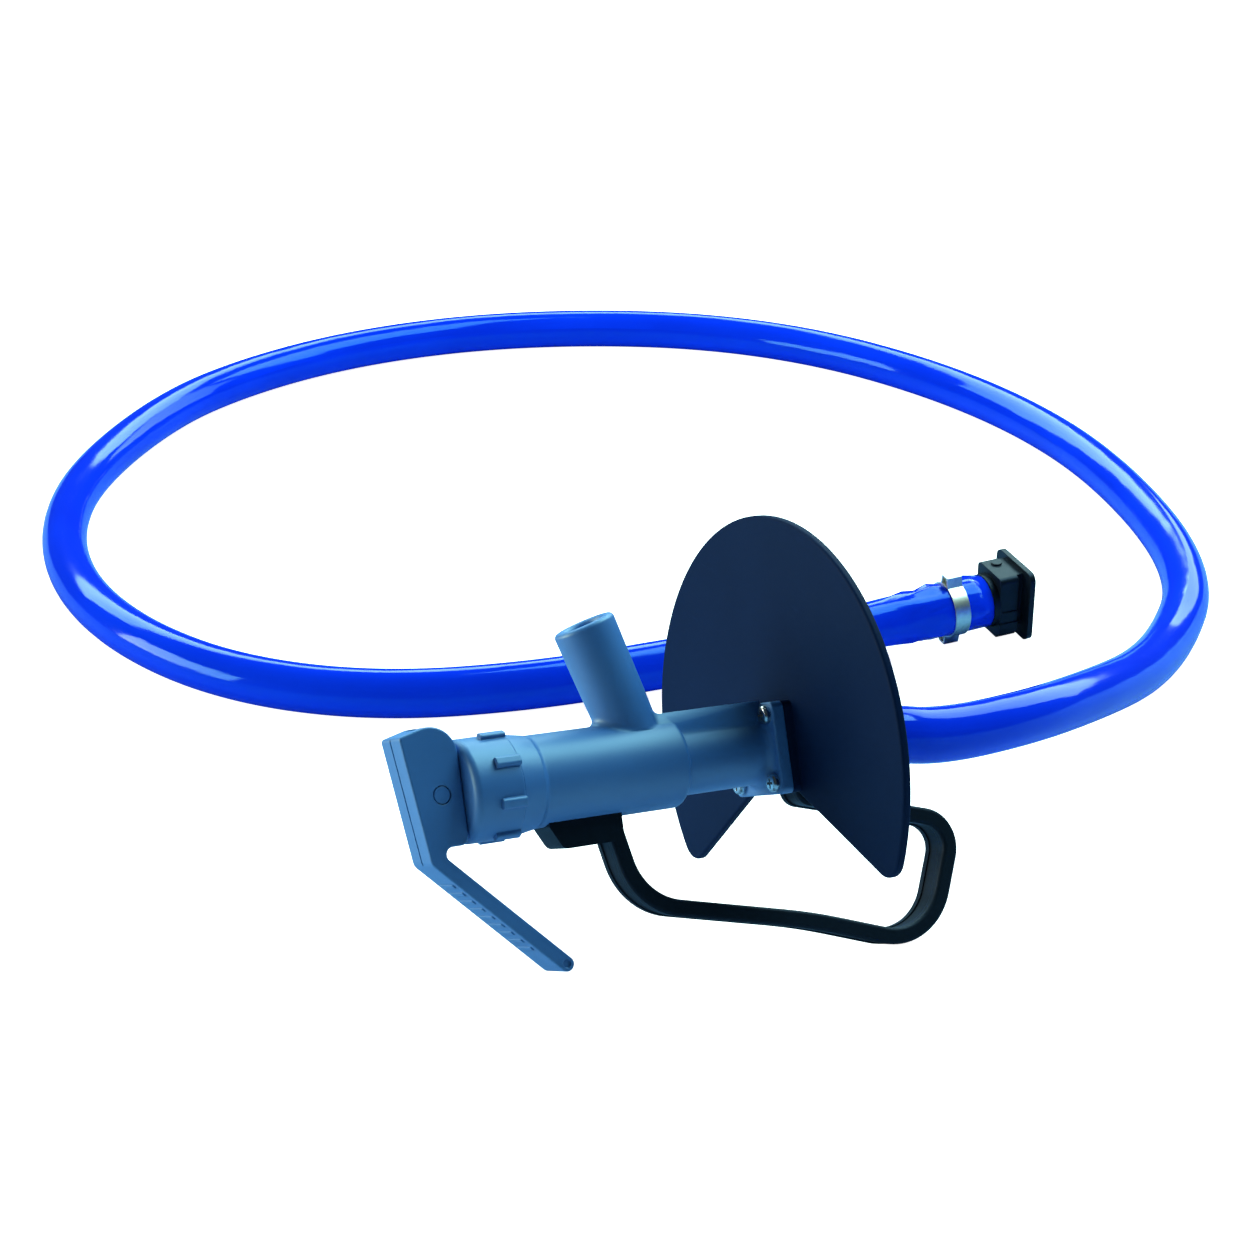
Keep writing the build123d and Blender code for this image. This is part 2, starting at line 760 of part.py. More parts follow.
# Hose tail: spigot through the stack, flange and barb
spigot_front = -tail_socket_depth + tail_gasket_thickness
with BuildPart() as hose_tail:
    with BuildSketch():
        with BuildLine():
            Polyline(
                (spigot_front, tail_bore / 2),
                (spigot_front, tail_spigot_od / 2),
                (tail_back, tail_spigot_od / 2),
                *barb_profile(tail_back, hose_bore, tail_barb_length),
                (tail_back + tail_barb_length, tail_bore / 2),
                close=True,
            )
        make_face()
    revolve(axis=Axis.X)
    with BuildSketch(Plane.YZ.offset(tail_front)):
        RectangleRounded(handle_plate_side, handle_plate_side, flange_corner)
        Circle(tail_bore / 2 + seat_gap, mode=Mode.SUBTRACT)
        with GridLocations(screw_spacing, screw_spacing, 2, 2):
            Circle(screw_hole / 2, mode=Mode.SUBTRACT)
    extrude(amount=tail_flange_thickness)
hose_tail.part.label = "hose_tail"

with BuildPart() as tail_gasket:
    with BuildSketch(Plane.YZ.offset(-tail_socket_depth)):
        Circle(tail_spigot_od / 2)
        Circle(neck_bore / 2, mode=Mode.SUBTRACT)
    extrude(amount=tail_gasket_thickness)
tail_gasket.part.label = "tail_gasket"


def two_ear_clamp(middle, over):
    """Two-ear clamp round the X axis over a hose of that outside diameter, its band centred at middle."""
    band_inner = over / 2 + seat_gap
    band_outer = band_inner + clamp_band_thickness
    clamp_ear_inside = clamp_ear_root - 3 * clamp_band_thickness
    with BuildPart() as clamp:
        with BuildSketch(Plane.YZ.offset(middle)):
            Circle(band_outer)
            for turn in (0, 180):
                with Locations(Location((0, 0), turn)):
                    with Locations((0, band_inner)):
                        Trapezoid(clamp_ear_root, clamp_ear_height, clamp_ear_slope,
                                  align=(Align.CENTER, Align.MIN))
                    with Locations((0, band_outer)):
                        Trapezoid(clamp_ear_inside, clamp_ear_height - 2 * clamp_band_thickness,
                                  clamp_ear_slope, align=(Align.CENTER, Align.MIN), mode=Mode.SUBTRACT)
            Circle(band_inner, mode=Mode.SUBTRACT)
        extrude(amount=clamp_band_width / 2, both=True)
    return clamp.part


hose_start = tail_back + hose_stand_off
gun_clamp = two_ear_clamp(hose_start + tail_clamp_setback + clamp_band_width / 2, hose_od)
gun_clamp.label = "gun_clamp"

# The gun is laid down: nose up, leaning over, standing on Z = 0 with its middle over the origin
gun_pieces = [
    piece.part
    for piece in (valve_body, cap_nut, gland_bush, gland_o_ring, stem_seal, valve_stem, plug_cup, valve_plug,
                  plug_nut, return_spring, lever, lever_pin, splash_shield, handle, handle_screws,
                  flange_screws, flange_washers, flange_nuts, hose_tail, tail_gasket)
] + [gun_clamp]
lean = Location((0, 0, 0), (0, rest_nose_up, 0)) * Location((0, 0, 0), (-rest_lean, 0, 0))
leaning_box = Compound(children=[piece.moved(lean) for piece in gun_pieces]).bounding_box()
middle = leaning_box.center()
rest = Location((-middle.X, -middle.Y, -leaning_box.min.Z)) * lean

# Hose: out of the tail along the gun's axis, down to the floor, once round, and back up onto the connector
hose_exit = rest * Location((hose_start, 0, 0))
hose_first_bend = rest * Location((hose_start + hose_first_run, 0, 0))
hose_route = [
    hose_exit.position,
    hose_first_bend.position,
    Vector(138, 3.1, 74.2),
    Vector(202, 21.6, 62),
    Vector(268, 57, 44.5),
    Vector(331.5, 99.4, 25.3),
    Vector(390, 148, 13),
    Vector(440, 196, 13),
    Vector(482, 275, 13),
    Vector(516, 389, 13),
    Vector(524, 484, 13),
    Vector(512, 576, 13),
    Vector(481, 663, 13),
    Vector(429, 732, 13),
    Vector(357, 781, 13),
    Vector(272, 811, 13),
    Vector(184, 815, 13),
    Vector(101, 794, 13),
    Vector(28, 753, 13),
    Vector(-56, 663, 13),
    Vector(-100, 577, 13),
    Vector(-118, 487, 13),
    Vector(-109, 401, 13),
    Vector(-76, 329, 13),
    Vector(-18, 278, 13),
    Vector(61, 253, 13),
    Vector(140, 241.5, 15),
    Vector(208, 230.7, 16.8),
    Vector(314, 221, 21.8),
]


def bend_radii(route):
    """Largest tidy arc at each inner point: 0.45 of the shorter run over the tangent of half the turn."""
    radii = []
    for before, corner, after in zip(route, route[1:], route[2:]):
        turn = (corner - before).get_angle(after - corner)
        shorter = min((corner - before).length, (after - corner).length)
        radii.append(0.45 * shorter / tan(radians(turn / 2)))
    return radii


hose_radii = bend_radii(hose_route)
print("hose bend radii", [round(radius) for radius in hose_radii])
stretched_od = hose_od + hose_stretch
stretched_bore = hose_bore + hose_stretch
stretch_front = connector_barb_length + hose_stretch_margin
stretch_back = stretch_front + hose_stretch_taper
with BuildPart() as hose:
    with BuildLine():
        hose_line = FilletPolyline(*hose_route, radius=hose_radii)
    hose_axis = Axis(hose_line @ 1, hose_line % 1)
    hose_end = Plane(
        origin=hose_line @ 1,
        x_dir=hose_line % 1,
        z_dir=Vector(0, 1, 0).cross(hose_line % 1) * -1,
    )
    with BuildSketch(Plane(hose_line @ 0, z_dir=hose_line % 0)):
        Circle(hose_od / 2)
        Circle(hose_bore / 2, mode=Mode.SUBTRACT)
    sweep()
    with BuildSketch(hose_end):
        with BuildLine():
            Polyline(
                (-stretch_back, hose_bore / 2),
                (-stretch_back, hose_od / 2),
                (-stretch_front, stretched_od / 2),
                (0, stretched_od / 2),
                (0, hose_bore / 2),
                close=True,
            )
        make_face()
    revolve(axis=hose_axis)
    with BuildSketch(hose_end):
        with BuildLine():
            Polyline(
                (-stretch_back, 0),
                (-stretch_back, hose_bore / 2),
                (-stretch_front, stretched_bore / 2),
                (0, stretched_bore / 2),
                (0, 0),
                close=True,
            )
        make_face()
    revolve(axis=hose_axis, mode=Mode.SUBTRACT)
hose.part.label = "hose"
hose_samples = 240
hose_points = [hose_line @ (step / hose_samples) for step in range(hose_samples + 1)]
apart = round(10 * hose_od / hose_line.length * hose_samples)
nearest = min((a - b).length for n, a in enumerate(hose_points) for b in hose_points[n + apart:])
print("hose length", round(hose_line.length), "least gap to itself", round(nearest - hose_od, 1))

# Connector, drawn along X from the hose's end, then turned to the hose's last run and rolled
collar_front = seat_gap + connector_collar_length
block_front = collar_front + connector_block_length
neck_back = block_front - connector_neck_length
plate_face = block_front + connector_plate_thickness
seal_groove_outer = connector_seal_od / 2
seal_groove_inner = seal_groove_outer - connector_seal_section
with BuildPart() as connector:
    with BuildSketch():
        with BuildLine():
            Polyline(
                *[(-x, r) for x, r in barb_profile(-seat_gap, stretched_bore, connector_barb_length)],
                (-connector_barb_length + seat_gap, connector_bore / 2),
                (seat_gap, connector_bore / 2),
                close=True,
            )
        make_face()
    revolve(axis=Axis.X)
    with BuildSketch(Plane.YZ.offset(seat_gap)):
        Circle(stretched_od / 2 + connector_collar_step)
    extrude(amount=connector_collar_length)
    with BuildSketch(Plane.YZ.offset(collar_front)):
        RectangleRounded(connector_block_width, connector_block_height, connector_block_round)
        with Locations((0, connector_block_round - connector_block_height / 2)):
            for step in range(connector_steps):
                Rectangle(connector_block_width + 2 * connector_step_out * (step + 1),
                          connector_step_height * (connector_steps - step),
                          align=(Align.CENTER, Align.MIN))
    extrude(amount=connector_block_length - connector_neck_length)
    with BuildSketch(Plane.YZ.offset(neck_back)):
        with Locations((0, connector_notch_depth / 2)):
            Rectangle(connector_block_width - 2 * connector_block_round,
                      connector_block_height - connector_notch_depth)
    extrude(amount=connector_neck_length)
    with BuildSketch(Plane.YZ.offset(block_front)):
        RectangleRounded(connector_plate_width, connector_plate_height, connector_plate_corner)
    extrude(amount=connector_plate_thickness)
    with BuildSketch(Plane.XY.offset(connector_block_height / 2)):
        with Locations((neck_back - connector_boss_setback, connector_boss_aside)):
            Circle(connector_boss / 2)
    extrude(amount=connector_boss_height)
    with BuildSketch(Plane.YZ.offset(plate_face)):
        Circle(seal_groove_outer)
        Circle(seal_groove_inner, mode=Mode.SUBTRACT)
    extrude(amount=-connector_seal_depth, mode=Mode.SUBTRACT)
    with BuildSketch(Plane.YZ):
        Circle(connector_bore / 2)
    extrude(amount=plate_face, mode=Mode.SUBTRACT)
connector.part.label = "connector"

with BuildPart() as connector_seal:
    with BuildSketch(Plane.YZ.offset(plate_face - connector_seal_depth)):
        Circle(seal_groove_outer - seat_gap)
        Circle(seal_groove_inner + seat_gap, mode=Mode.SUBTRACT)
    extrude(amount=connector_seal_depth - connector_seal_sink)
connector_seal.part.label = "connector_seal"

connector_clamp = two_ear_clamp(-connector_clamp_setback - clamp_band_width / 2, stretched_od)
connector_clamp.label = "connector_clamp"

end_place = hose_end.location * Location((0, 0, 0), (connector_roll, 0, 0))
end_pieces = [connector.part, connector_seal.part, connector_clamp]

for pieces, place in ((gun_pieces, rest), ([hose.part], Location()), (end_pieces, end_place)):
    for piece in pieces:
        resting = piece.moved(place)
        resting.label = piece.label
        export_step(resting, f"parts/{piece.label}.step")
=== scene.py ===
"""Lever-valve hose gun: its hose, even body and spring, the finish of each piece, and a white studio."""

import math

import bmesh
import bpy
from mathutils import Matrix, Vector, noise


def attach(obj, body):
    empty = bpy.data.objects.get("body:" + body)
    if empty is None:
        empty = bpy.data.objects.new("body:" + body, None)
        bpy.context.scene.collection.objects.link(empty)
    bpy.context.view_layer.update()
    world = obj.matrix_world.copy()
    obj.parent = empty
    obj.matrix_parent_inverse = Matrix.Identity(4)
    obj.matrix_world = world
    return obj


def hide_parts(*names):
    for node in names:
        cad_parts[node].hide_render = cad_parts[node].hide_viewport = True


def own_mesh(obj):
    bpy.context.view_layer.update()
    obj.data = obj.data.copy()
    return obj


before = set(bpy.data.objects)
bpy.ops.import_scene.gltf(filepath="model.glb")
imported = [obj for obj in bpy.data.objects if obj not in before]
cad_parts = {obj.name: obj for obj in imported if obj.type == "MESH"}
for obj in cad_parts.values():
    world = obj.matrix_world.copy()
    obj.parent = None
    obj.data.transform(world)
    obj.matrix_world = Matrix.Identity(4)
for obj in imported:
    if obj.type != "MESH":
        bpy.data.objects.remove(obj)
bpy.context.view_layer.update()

bl_info = {
    "name": "Lever-valve hose gun",
    "version": (1, 0, 0),
    "blender": (4, 5, 0),
    "location": "View3D > Sidebar > Hose Gun",
    "description": "Lays the gun's hose, gives each piece its finish and sets a white studio",
    "category": "Object",
}

# The hose's route over the floor, as in the part's source, in metres
HOSE_ROUTE = (
    (0.067494, 0.0, 0.089285),
    (0.103328, 0.0, 0.085834),
    (0.138, 0.0031, 0.0742),
    (0.202, 0.0216, 0.062),
    (0.268, 0.057, 0.0445),
    (0.3315, 0.0994, 0.0253),
    (0.390, 0.148, 0.013),
    (0.440, 0.196, 0.013),
    (0.482, 0.275, 0.013),
    (0.516, 0.389, 0.013),
    (0.524, 0.484, 0.013),
    (0.512, 0.576, 0.013),
    (0.481, 0.663, 0.013),
    (0.429, 0.732, 0.013),
    (0.357, 0.781, 0.013),
    (0.272, 0.811, 0.013),
    (0.184, 0.815, 0.013),
    (0.101, 0.794, 0.013),
    (0.028, 0.753, 0.013),
    (-0.056, 0.663, 0.013),
    (-0.100, 0.577, 0.013),
    (-0.118, 0.487, 0.013),
    (-0.109, 0.401, 0.013),
    (-0.076, 0.329, 0.013),
    (-0.018, 0.278, 0.013),
    (0.061, 0.253, 0.013),
    (0.140, 0.2415, 0.015),
    (0.208, 0.2307, 0.0168),
    (0.314, 0.221, 0.0218),
)

# The hose's own UV map, and how far a rim may lie from the middle of its end, in metres
HOSE_MAP = "hose_length"
HOSE_REACH = 0.03

# Share of the stretched end that keeps its full width
FULL_WIDTH = 0.8

# How far the stretched wall stays inside its solid, under the clamp, in metres
CLAMP_ROOM = 0.00002

# Wrinkles of the stretched end: share of the depth, fineness round the hose, shift, fineness along it
WRINKLES = (
    (1.0, 1.9, (3.1, 0.7), 62),
    (0.6, 3.6, (9.4, 2.2), 120),
    (0.4, 2.6, (5.8, 4.4), 260),
)

# From the hose's end to where the wrinkles begin and are whole, and their fade at the clamp, in metres
WRINKLE_BEGIN = 0.0005
WRINKLE_WHOLE = 0.004
CLAMP_FADE = 0.004

# Where the photographer stood, in metres, and the way the camera faced, in degrees
CAMERA_PLACE = (-0.5128, -0.9287, 0.6329)
CAMERA_HEADING = 27.74
CAMERA_DIP = 24.04

# The camera's lens and sensor, in millimetres, and how far it sees, in metres
CAMERA_LENS = 79.86
CAMERA_SENSOR = 36.0
CAMERA_REACH = 200.0

# Colours of the softboxes, of the left softbox, of the fill light and of the backdrop
SOFTBOX_COLOUR = (0.57, 0.92, 0.90)
LEFT_COLOUR = (1.0, 0.95, 0.72)
FILL_COLOUR = (0.55, 0.82, 1.0, 1.0)
WHITE = (1.0, 1.0, 1.0, 1.0)

# Softboxes: place, what each faces, width and height, in metres, and colour
SOFTBOXES = {
    "left_softbox": ((-1.45, 0.75, 0.35), (-0.05, 0.05, 0.08), (1.2, 0.65), LEFT_COLOUR),
    "top_softbox": ((1.0, 0.3, 1.45), (0.0, 0.05, 0.1), (1.3, 1.2), SOFTBOX_COLOUR),
    "right_softbox": ((2.0, 1.0, 0.85), (0.1, 0.1, 0.08), (1.3, 0.9), SOFTBOX_COLOUR),
    "back_softbox": ((0.6, 2.4, 1.5), (0.15, 0.3, 0.05), (3.6, 0.8), SOFTBOX_COLOUR),
}

# Tints of the shine on the body and the shield, on black nylon and on the vinyl hose
SKY_TINT = (0.60, 0.96, 1.0, 1.0)
NYLON_TINT = (0.38, 0.62, 1.0, 1.0)
VINYL_TINT = (0.18, 0.76, 1.0, 1.0)

# Rays that find a softened edge
EDGE_SAMPLES = 6

# Sides of the floor and of the ring's openings, and steps round the barrel's shoulder
FLOOR_SIDES = 96
OPENING_SIDES = 64
SHOULDER_STEPS = 8

# Edges of a copied mesh that turn more than this stay sharp, in degrees
SHARP_ANGLE = 32.0

# How the gun lies at rest: the lever's pin on the barrel's axis, in metres, and two angles, in degrees
PIN_PLACE = (-0.11337, 0.0, 0.106701)
GUN_NOSE_UP = 5.5
GUN_LEAN = 26.5

# Vertices of a CAD mesh this close are one vertex, in metres
MERGE_DISTANCE = 1e-6


class HoseGunColours(bpy.types.PropertyGroup):
    """Base colours of the gun's pieces."""

    body: bpy.props.FloatVectorProperty(
        name="Body", description="Blue-grey plastic of the body, cap and lever",
        subtype="COLOR", size=3, min=0, max=1, default=(0.034, 0.142, 0.44))
    body_rubbed: bpy.props.FloatVectorProperty(
        name="Rubbed body", description="Blue-grey plastic where hands have polished it",
        subtype="COLOR", size=3, min=0, max=1, default=(0.045, 0.170, 0.48))
    shield: bpy.props.FloatVectorProperty(
        name="Shield", description="Black plastic of the splash shield",
        subtype="COLOR", size=3, min=0, max=1, default=(0.0020, 0.0090, 0.038))
    handle: bpy.props.FloatVectorProperty(
        name="Handle", description="Black nylon of the loop handle",
        subtype="COLOR", size=3, min=0, max=1, default=(0.003, 0.006, 0.011))
    fitting: bpy.props.FloatVectorProperty(
        name="Fittings", description="Black plastic of the connector and the hose tail",
        subtype="COLOR", size=3, min=0, max=1, default=(0.002, 0.004, 0.008))
    hose: bpy.props.FloatVectorProperty(
        name="Hose", description="Blue vinyl of the hose",
        subtype="COLOR", size=3, min=0, max=1, default=(0.0016, 0.033, 0.76))
    hose_deep: bpy.props.FloatVectorProperty(
        name="Deep hose", description="Blue vinyl where the wall is thickest",
        subtype="COLOR", size=3, min=0, max=1, default=(0.0011, 0.023, 0.62))
    zinc: bpy.props.FloatVectorProperty(
        name="Zinc", description="Zinc plate of the hose clamps",
        subtype="COLOR", size=3, min=0, max=1, default=(0.80, 0.80, 0.70))
    steel: bpy.props.FloatVectorProperty(
        name="Steel", description="Plated screws, washers and nuts",
        subtype="COLOR", size=3, min=0, max=1, default=(0.70, 0.72, 0.73))
    stainless: bpy.props.FloatVectorProperty(
        name="Stainless", description="Stem, cup, nut and spring of the valve",
        subtype="COLOR", size=3, min=0, max=1, default=(0.56, 0.57, 0.58))
    rubber: bpy.props.FloatVectorProperty(
        name="Rubber", description="Seals and valve plug",
        subtype="COLOR", size=3, min=0, max=1, default=(0.012, 0.012, 0.013))
    bush: bpy.props.FloatVectorProperty(
        name="Bush", description="White plastic of the gland bush",
        subtype="COLOR", size=3, min=0, max=1, default=(0.72, 0.72, 0.69))


class HoseGunBarrel(bpy.types.PropertyGroup):
    """Sizes of the barrel, with lengths measured back from the lever's pin."""

    radius: bpy.props.FloatProperty(
        name="Radius", description="Radius of the barrel", unit="LENGTH", default=0.0195)
    collar_front: bpy.props.FloatProperty(
        name="Collar front", description="From the pin to the collar's front",
        unit="LENGTH", default=0.0319)
    collar_back: bpy.props.FloatProperty(
        name="Collar back", description="From the pin to the collar's back",
        unit="LENGTH", default=0.0424)
    collar_front_radius: bpy.props.FloatProperty(
        name="Collar front radius", description="Radius of the collar at its front",
        unit="LENGTH", default=0.0215)
    collar_back_radius: bpy.props.FloatProperty(
        name="Collar back radius", description="Radius of the collar at its back",
        unit="LENGTH", default=0.0198)
    back: bpy.props.FloatProperty(
        name="Back", description="From the pin to the barrel's back", unit="LENGTH", default=0.1119)
    shoulder: bpy.props.FloatProperty(
        name="Shoulder", description="Radius of the round at the barrel's back",
        unit="LENGTH", default=0.00297)
    shoulder_turn: bpy.props.FloatProperty(
        name="Shoulder turn", description="Share of the shoulder's round that is laid",
        default=0.5, max=1)
    skin: bpy.props.FloatProperty(
        name="Skin", description="Depth of the ring that evens the barrel",
        unit="LENGTH", default=0.0015)
    proud: bpy.props.FloatProperty(
        name="Proud", description="How far the ring stands out", unit="LENGTH", default=0.00003)
    spout_start: bpy.props.FloatProperty(
        name="Spout start", description="From the pin to the spout's axis",
        unit="LENGTH", default=0.0987)
    spout_lean: bpy.props.FloatProperty(
        name="Spout lean", description="Forward lean of the spout", subtype="ANGLE",
        default=math.radians(17.7))
    throat: bpy.props.FloatProperty(
        name="Throat", description="Radius kept free of the ring under the spout",
        unit="LENGTH", default=0.0095)
    pad_screw: bpy.props.FloatProperty(
        name="Pad screw", description="From the pin to the first screw of the handle's pad",
        unit="LENGTH", default=0.05885)
    pad_screw_spacing: bpy.props.FloatProperty(
        name="Pad screw spacing", description="Between the two screws of the handle's pad",
        unit="LENGTH", default=0.010)
    pad_hole: bpy.props.FloatProperty(
        name="Pad hole", description="Radius kept free of the ring round a pad screw",
        unit="LENGTH", default=0.0024)
    sides: bpy.props.IntProperty(
        name="Sides", description="Faces round the barrel", default=144, min=24)
    steps: bpy.props.IntProperty(
        name="Steps", description="Faces along the barrel", default=30, min=4)


class HoseGunSpring(bpy.types.PropertyGroup):
    """Ends and travel of the return spring, measured back from the lever's pin."""

    front: bpy.props.FloatProperty(
        name="Front", description="From the pin to the spring's fixed end",
        unit="LENGTH", default=0.0256)
    back: bpy.props.FloatProperty(
        name="Back", description="From the pin to the spring's moving end",
        unit="LENGTH", default=0.0975)
    travel: bpy.props.FloatProperty(
        name="Travel", description="How far the stem is drawn forward", unit="LENGTH", default=0.0069)


class HoseGunHose(bpy.types.PropertyGroup):
    """Sizes of the hose."""

    diameter: bpy.props.FloatProperty(
        name="Diameter", description="Outside diameter of the hose", unit="LENGTH", default=0.026)
    bore: bpy.props.FloatProperty(
        name="Bore", description="Inside diameter of the hose", unit="LENGTH", default=0.019)
    stretch: bpy.props.FloatProperty(
        name="Stretch", description="How much wider the hose is on the connector's spigot",
        unit="LENGTH", default=0.0032)
    stretch_length: bpy.props.FloatProperty(
        name="Stretched length", description="Length of hose on the connector's spigot",
        unit="LENGTH", default=0.034)
    stretch_taper: bpy.props.FloatProperty(
        name="Taper", description="Length over which the hose narrows again",
        unit="LENGTH", default=0.034)
    wrinkle: bpy.props.FloatProperty(
        name="Wrinkle", description="Depth of the wrinkles on the stretched end",
        unit="LENGTH", default=0.0042)
    clamp_setback: bpy.props.FloatProperty(
        name="Clamp setback", description="From the hose's end to the near edge of the clamp",
        unit="LENGTH", default=0.015)
    clamp_width: bpy.props.FloatProperty(
        name="Clamp width", description="Width of the clamp's band", unit="LENGTH", default=0.009)
    sides: bpy.props.IntProperty(
        name="Sides", description="Faces round the hose", default=40, min=12)
    steps: bpy.props.IntProperty(
        name="Steps", description="Rings between two points of the route", default=24, min=4)


class HoseGunStudio(bpy.types.PropertyGroup):
    """Floor and lights."""

    floor: bpy.props.FloatVectorProperty(
        name="Floor", description="Colour of the floor", subtype="COLOR", size=3, min=0, max=1,
        default=(0.93, 0.93, 0.93))
    floor_radius: bpy.props.FloatProperty(
        name="Floor radius", description="Radius of the floor", unit="LENGTH", default=30.0)
    floor_glow: bpy.props.FloatProperty(
        name="Floor glow", description="Light that the white floor adds of itself", default=1.0, min=0)
    floor_bounce: bpy.props.FloatProperty(
        name="Floor bounce", description="Share of light that the floor throws back up at the gun",
        default=0.8, min=0, max=1)
    floor_mirror: bpy.props.FloatVectorProperty(
        name="Floor mirror", description="Colour of the floor as glossy surfaces show it",
        subtype="COLOR", size=3, min=0, max=1, default=(0.17, 0.36, 0.62))
    floor_lift: bpy.props.FloatProperty(
        name="Floor lift", description="Light that the floor adds to its bounce", default=0.15, min=0)
    surround: bpy.props.FloatProperty(
        name="Surround", description="Brightness of the surroundings", default=0.045, min=0)
    left_power: bpy.props.FloatProperty(
        name="Left power", description="Power of the left softbox", unit="POWER", default=30.0)
    top_power: bpy.props.FloatProperty(
        name="Top power", description="Power of the overhead softbox", unit="POWER", default=46.0)
    right_power: bpy.props.FloatProperty(
        name="Right power", description="Power of the right softbox", unit="POWER", default=16.0)
    back_power: bpy.props.FloatProperty(
        name="Back power", description="Power of the softbox behind", unit="POWER", default=78.0)


class Value:
    """A number socket of a material that takes part in Python expressions."""

    def __init__(self, finish, socket):
        self.finish = finish
        self.socket = socket

    def maths(self, operation, first, second):
        """Adds a Math node."""
        node = self.finish.node("ShaderNodeMath", {"operation": operation}, {0: first, 1: second})
        return Value(self.finish, node.outputs[0])

    def __add__(self, other):
        return self.maths("ADD", self, other)

    __radd__ = __add__

    def __sub__(self, other):
        return self.maths("SUBTRACT", self, other)

    def __rsub__(self, other):
        return self.maths("SUBTRACT", other, self)

    def __mul__(self, other):
        return self.maths("MULTIPLY", self, other)

    __rmul__ = __mul__

    def over(self, low, high):
        """0 below low and 1 above high, smooth between."""
        settings = {"interpolation_type": "SMOOTHSTEP"}
        node = self.finish.node("ShaderNodeMapRange", settings,
                                {"Value": self, "From Min": low, "From Max": high})
        return Value(self.finish, node.outputs["Result"])


class Finish:
    """A material: its node tree, its shader and the calls that add to them."""

    def __init__(self, name, constants):
        self.material = bpy.data.materials.new(name)
        self.material.use_nodes = True
        self.tree = self.material.node_tree
        self.shader = self.tree.nodes["Principled BSDF"]
        for socket, value in constants.items():
            self.shader.inputs[socket].default_value = value

    def put(self, socket, value):
        """Sets a socket, or links it where the value comes from another node."""
        if isinstance(value, Value):
            value = value.socket
        if isinstance(value, bpy.types.NodeSocket):
            self.tree.links.new(value, socket)
        else:
            socket.default_value = value

    def node(self, kind, settings, sockets):
        """Adds a node of that kind, its settings first and then the values or links of its sockets."""
        node = self.tree.nodes.new(kind)
        for name, value in settings.items():
            setattr(node, name, value)
        for name, value in sockets.items():
            self.put(node.inputs[name], value)
        return node

    def place(self, scale=(1, 1, 1), turn=(0, 0, 0)):
        """Object coordinates, turned and scaled for a pattern."""
        here = self.node("ShaderNodeTexCoord", {}, {}).outputs["Object"]
        sockets = {"Vector": here, "Rotation": turn, "Scale": scale}
        return self.node("ShaderNodeMapping", {}, sockets).outputs["Vector"]

    def length_place(self, scale):
        """The hose's own map: round it in U and along it in V, both in metres, scaled for a pattern."""
        own = self.node("ShaderNodeUVMap", {"uv_map": HOSE_MAP}, {}).outputs["UV"]
        return self.node("ShaderNodeMapping", {}, {"Vector": own, "Scale": scale}).outputs["Vector"]

    def grain(self, place, scale, detail=3.0, roughness=0.55):
        """Noise from 0 to 1."""
        sockets = {"Vector": place, "Scale": scale, "Detail": detail, "Roughness": roughness}
        return Value(self, self.node("ShaderNodeTexNoise", {}, sockets).outputs["Fac"])

    def rings(self, place, scale, distortion=0.0):
        """Parallel bands from 0 to 1 along X of the place."""
        settings = {"wave_type": "BANDS", "bands_direction": "X", "wave_profile": "SIN"}
        sockets = {"Vector": place, "Scale": scale, "Distortion": distortion}
        return Value(self, self.node("ShaderNodeTexWave", settings, sockets).outputs["Fac"])

    def blend(self, share, first, second):
        """Colour that goes from first to second as share goes from 0 to 1."""
        node = self.node("ShaderNodeMix", {"data_type": "RGBA"}, {"Factor": share})
        pads = [socket for socket in node.inputs if socket.type == "RGBA"]
        for pad, colour in zip(pads, (first, second)):
            self.put(pad, colour if isinstance(colour, bpy.types.NodeSocket) else (*colour, 1.0))
        return next(socket for socket in node.outputs if socket.type == "RGBA")

    def colour(self, value):
        """Sets or links the base colour."""
        self.put(self.shader.inputs["Base Color"], value)

    def roughness(self, value):
        """Sets or links the roughness."""
        self.put(self.shader.inputs["Roughness"], value)

    def relief(self, height, depth, soft_edge=0.0):
        """Bump of that depth in metres, over edges softened by that radius."""
        sockets = {"Height": height, "Strength": 1.0, "Distance": depth}
        if soft_edge:
            edge = self.node("ShaderNodeBevel", {"samples": EDGE_SAMPLES}, {"Radius": soft_edge})
            sockets["Normal"] = edge.outputs["Normal"]
        bump = self.node("ShaderNodeBump", {}, sockets)
        self.put(self.shader.inputs["Normal"], bump.outputs["Normal"])

    def dress(self, *names):
        """Puts the material on those pieces of this script or nodes of the frame."""
        for name in names:
            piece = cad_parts.get(name) or bpy.data.objects[name]
            piece.data.materials.clear()
            piece.data.materials.append(self.material)


def shaded(colour, share):
    """The colour, that many times as bright."""
    return [share * part for part in colour]


def gun_place():
    """The gun's frame at rest: its origin is the pin, X runs back along the barrel, Z to the spout."""
    nose_up = Matrix.Rotation(math.radians(GUN_NOSE_UP), 4, "Y")
    lean = Matrix.Rotation(-math.radians(GUN_LEAN), 4, "X")
    return Matrix.Translation(PIN_PLACE) @ (nose_up @ lean)


def hose_curve(hose):
    """The hose's route as a NURBS curve with no thickness."""
    curve = bpy.data.curves.new("hose_route", "CURVE")
    curve.dimensions = "3D"
    curve.resolution_u = hose.steps
    # A bevel has two sides for each step of its resolution, and four more
    curve.bevel_resolution = hose.sides // 2 - 2
    spline = curve.splines.new("NURBS")
    spline.points.add(len(HOSE_ROUTE) - 1)
    for point, place in zip(spline.points, HOSE_ROUTE):
        point.co = (*place, 1.0)
    spline.order_u = 3
    spline.use_endpoint_u = True
    return curve


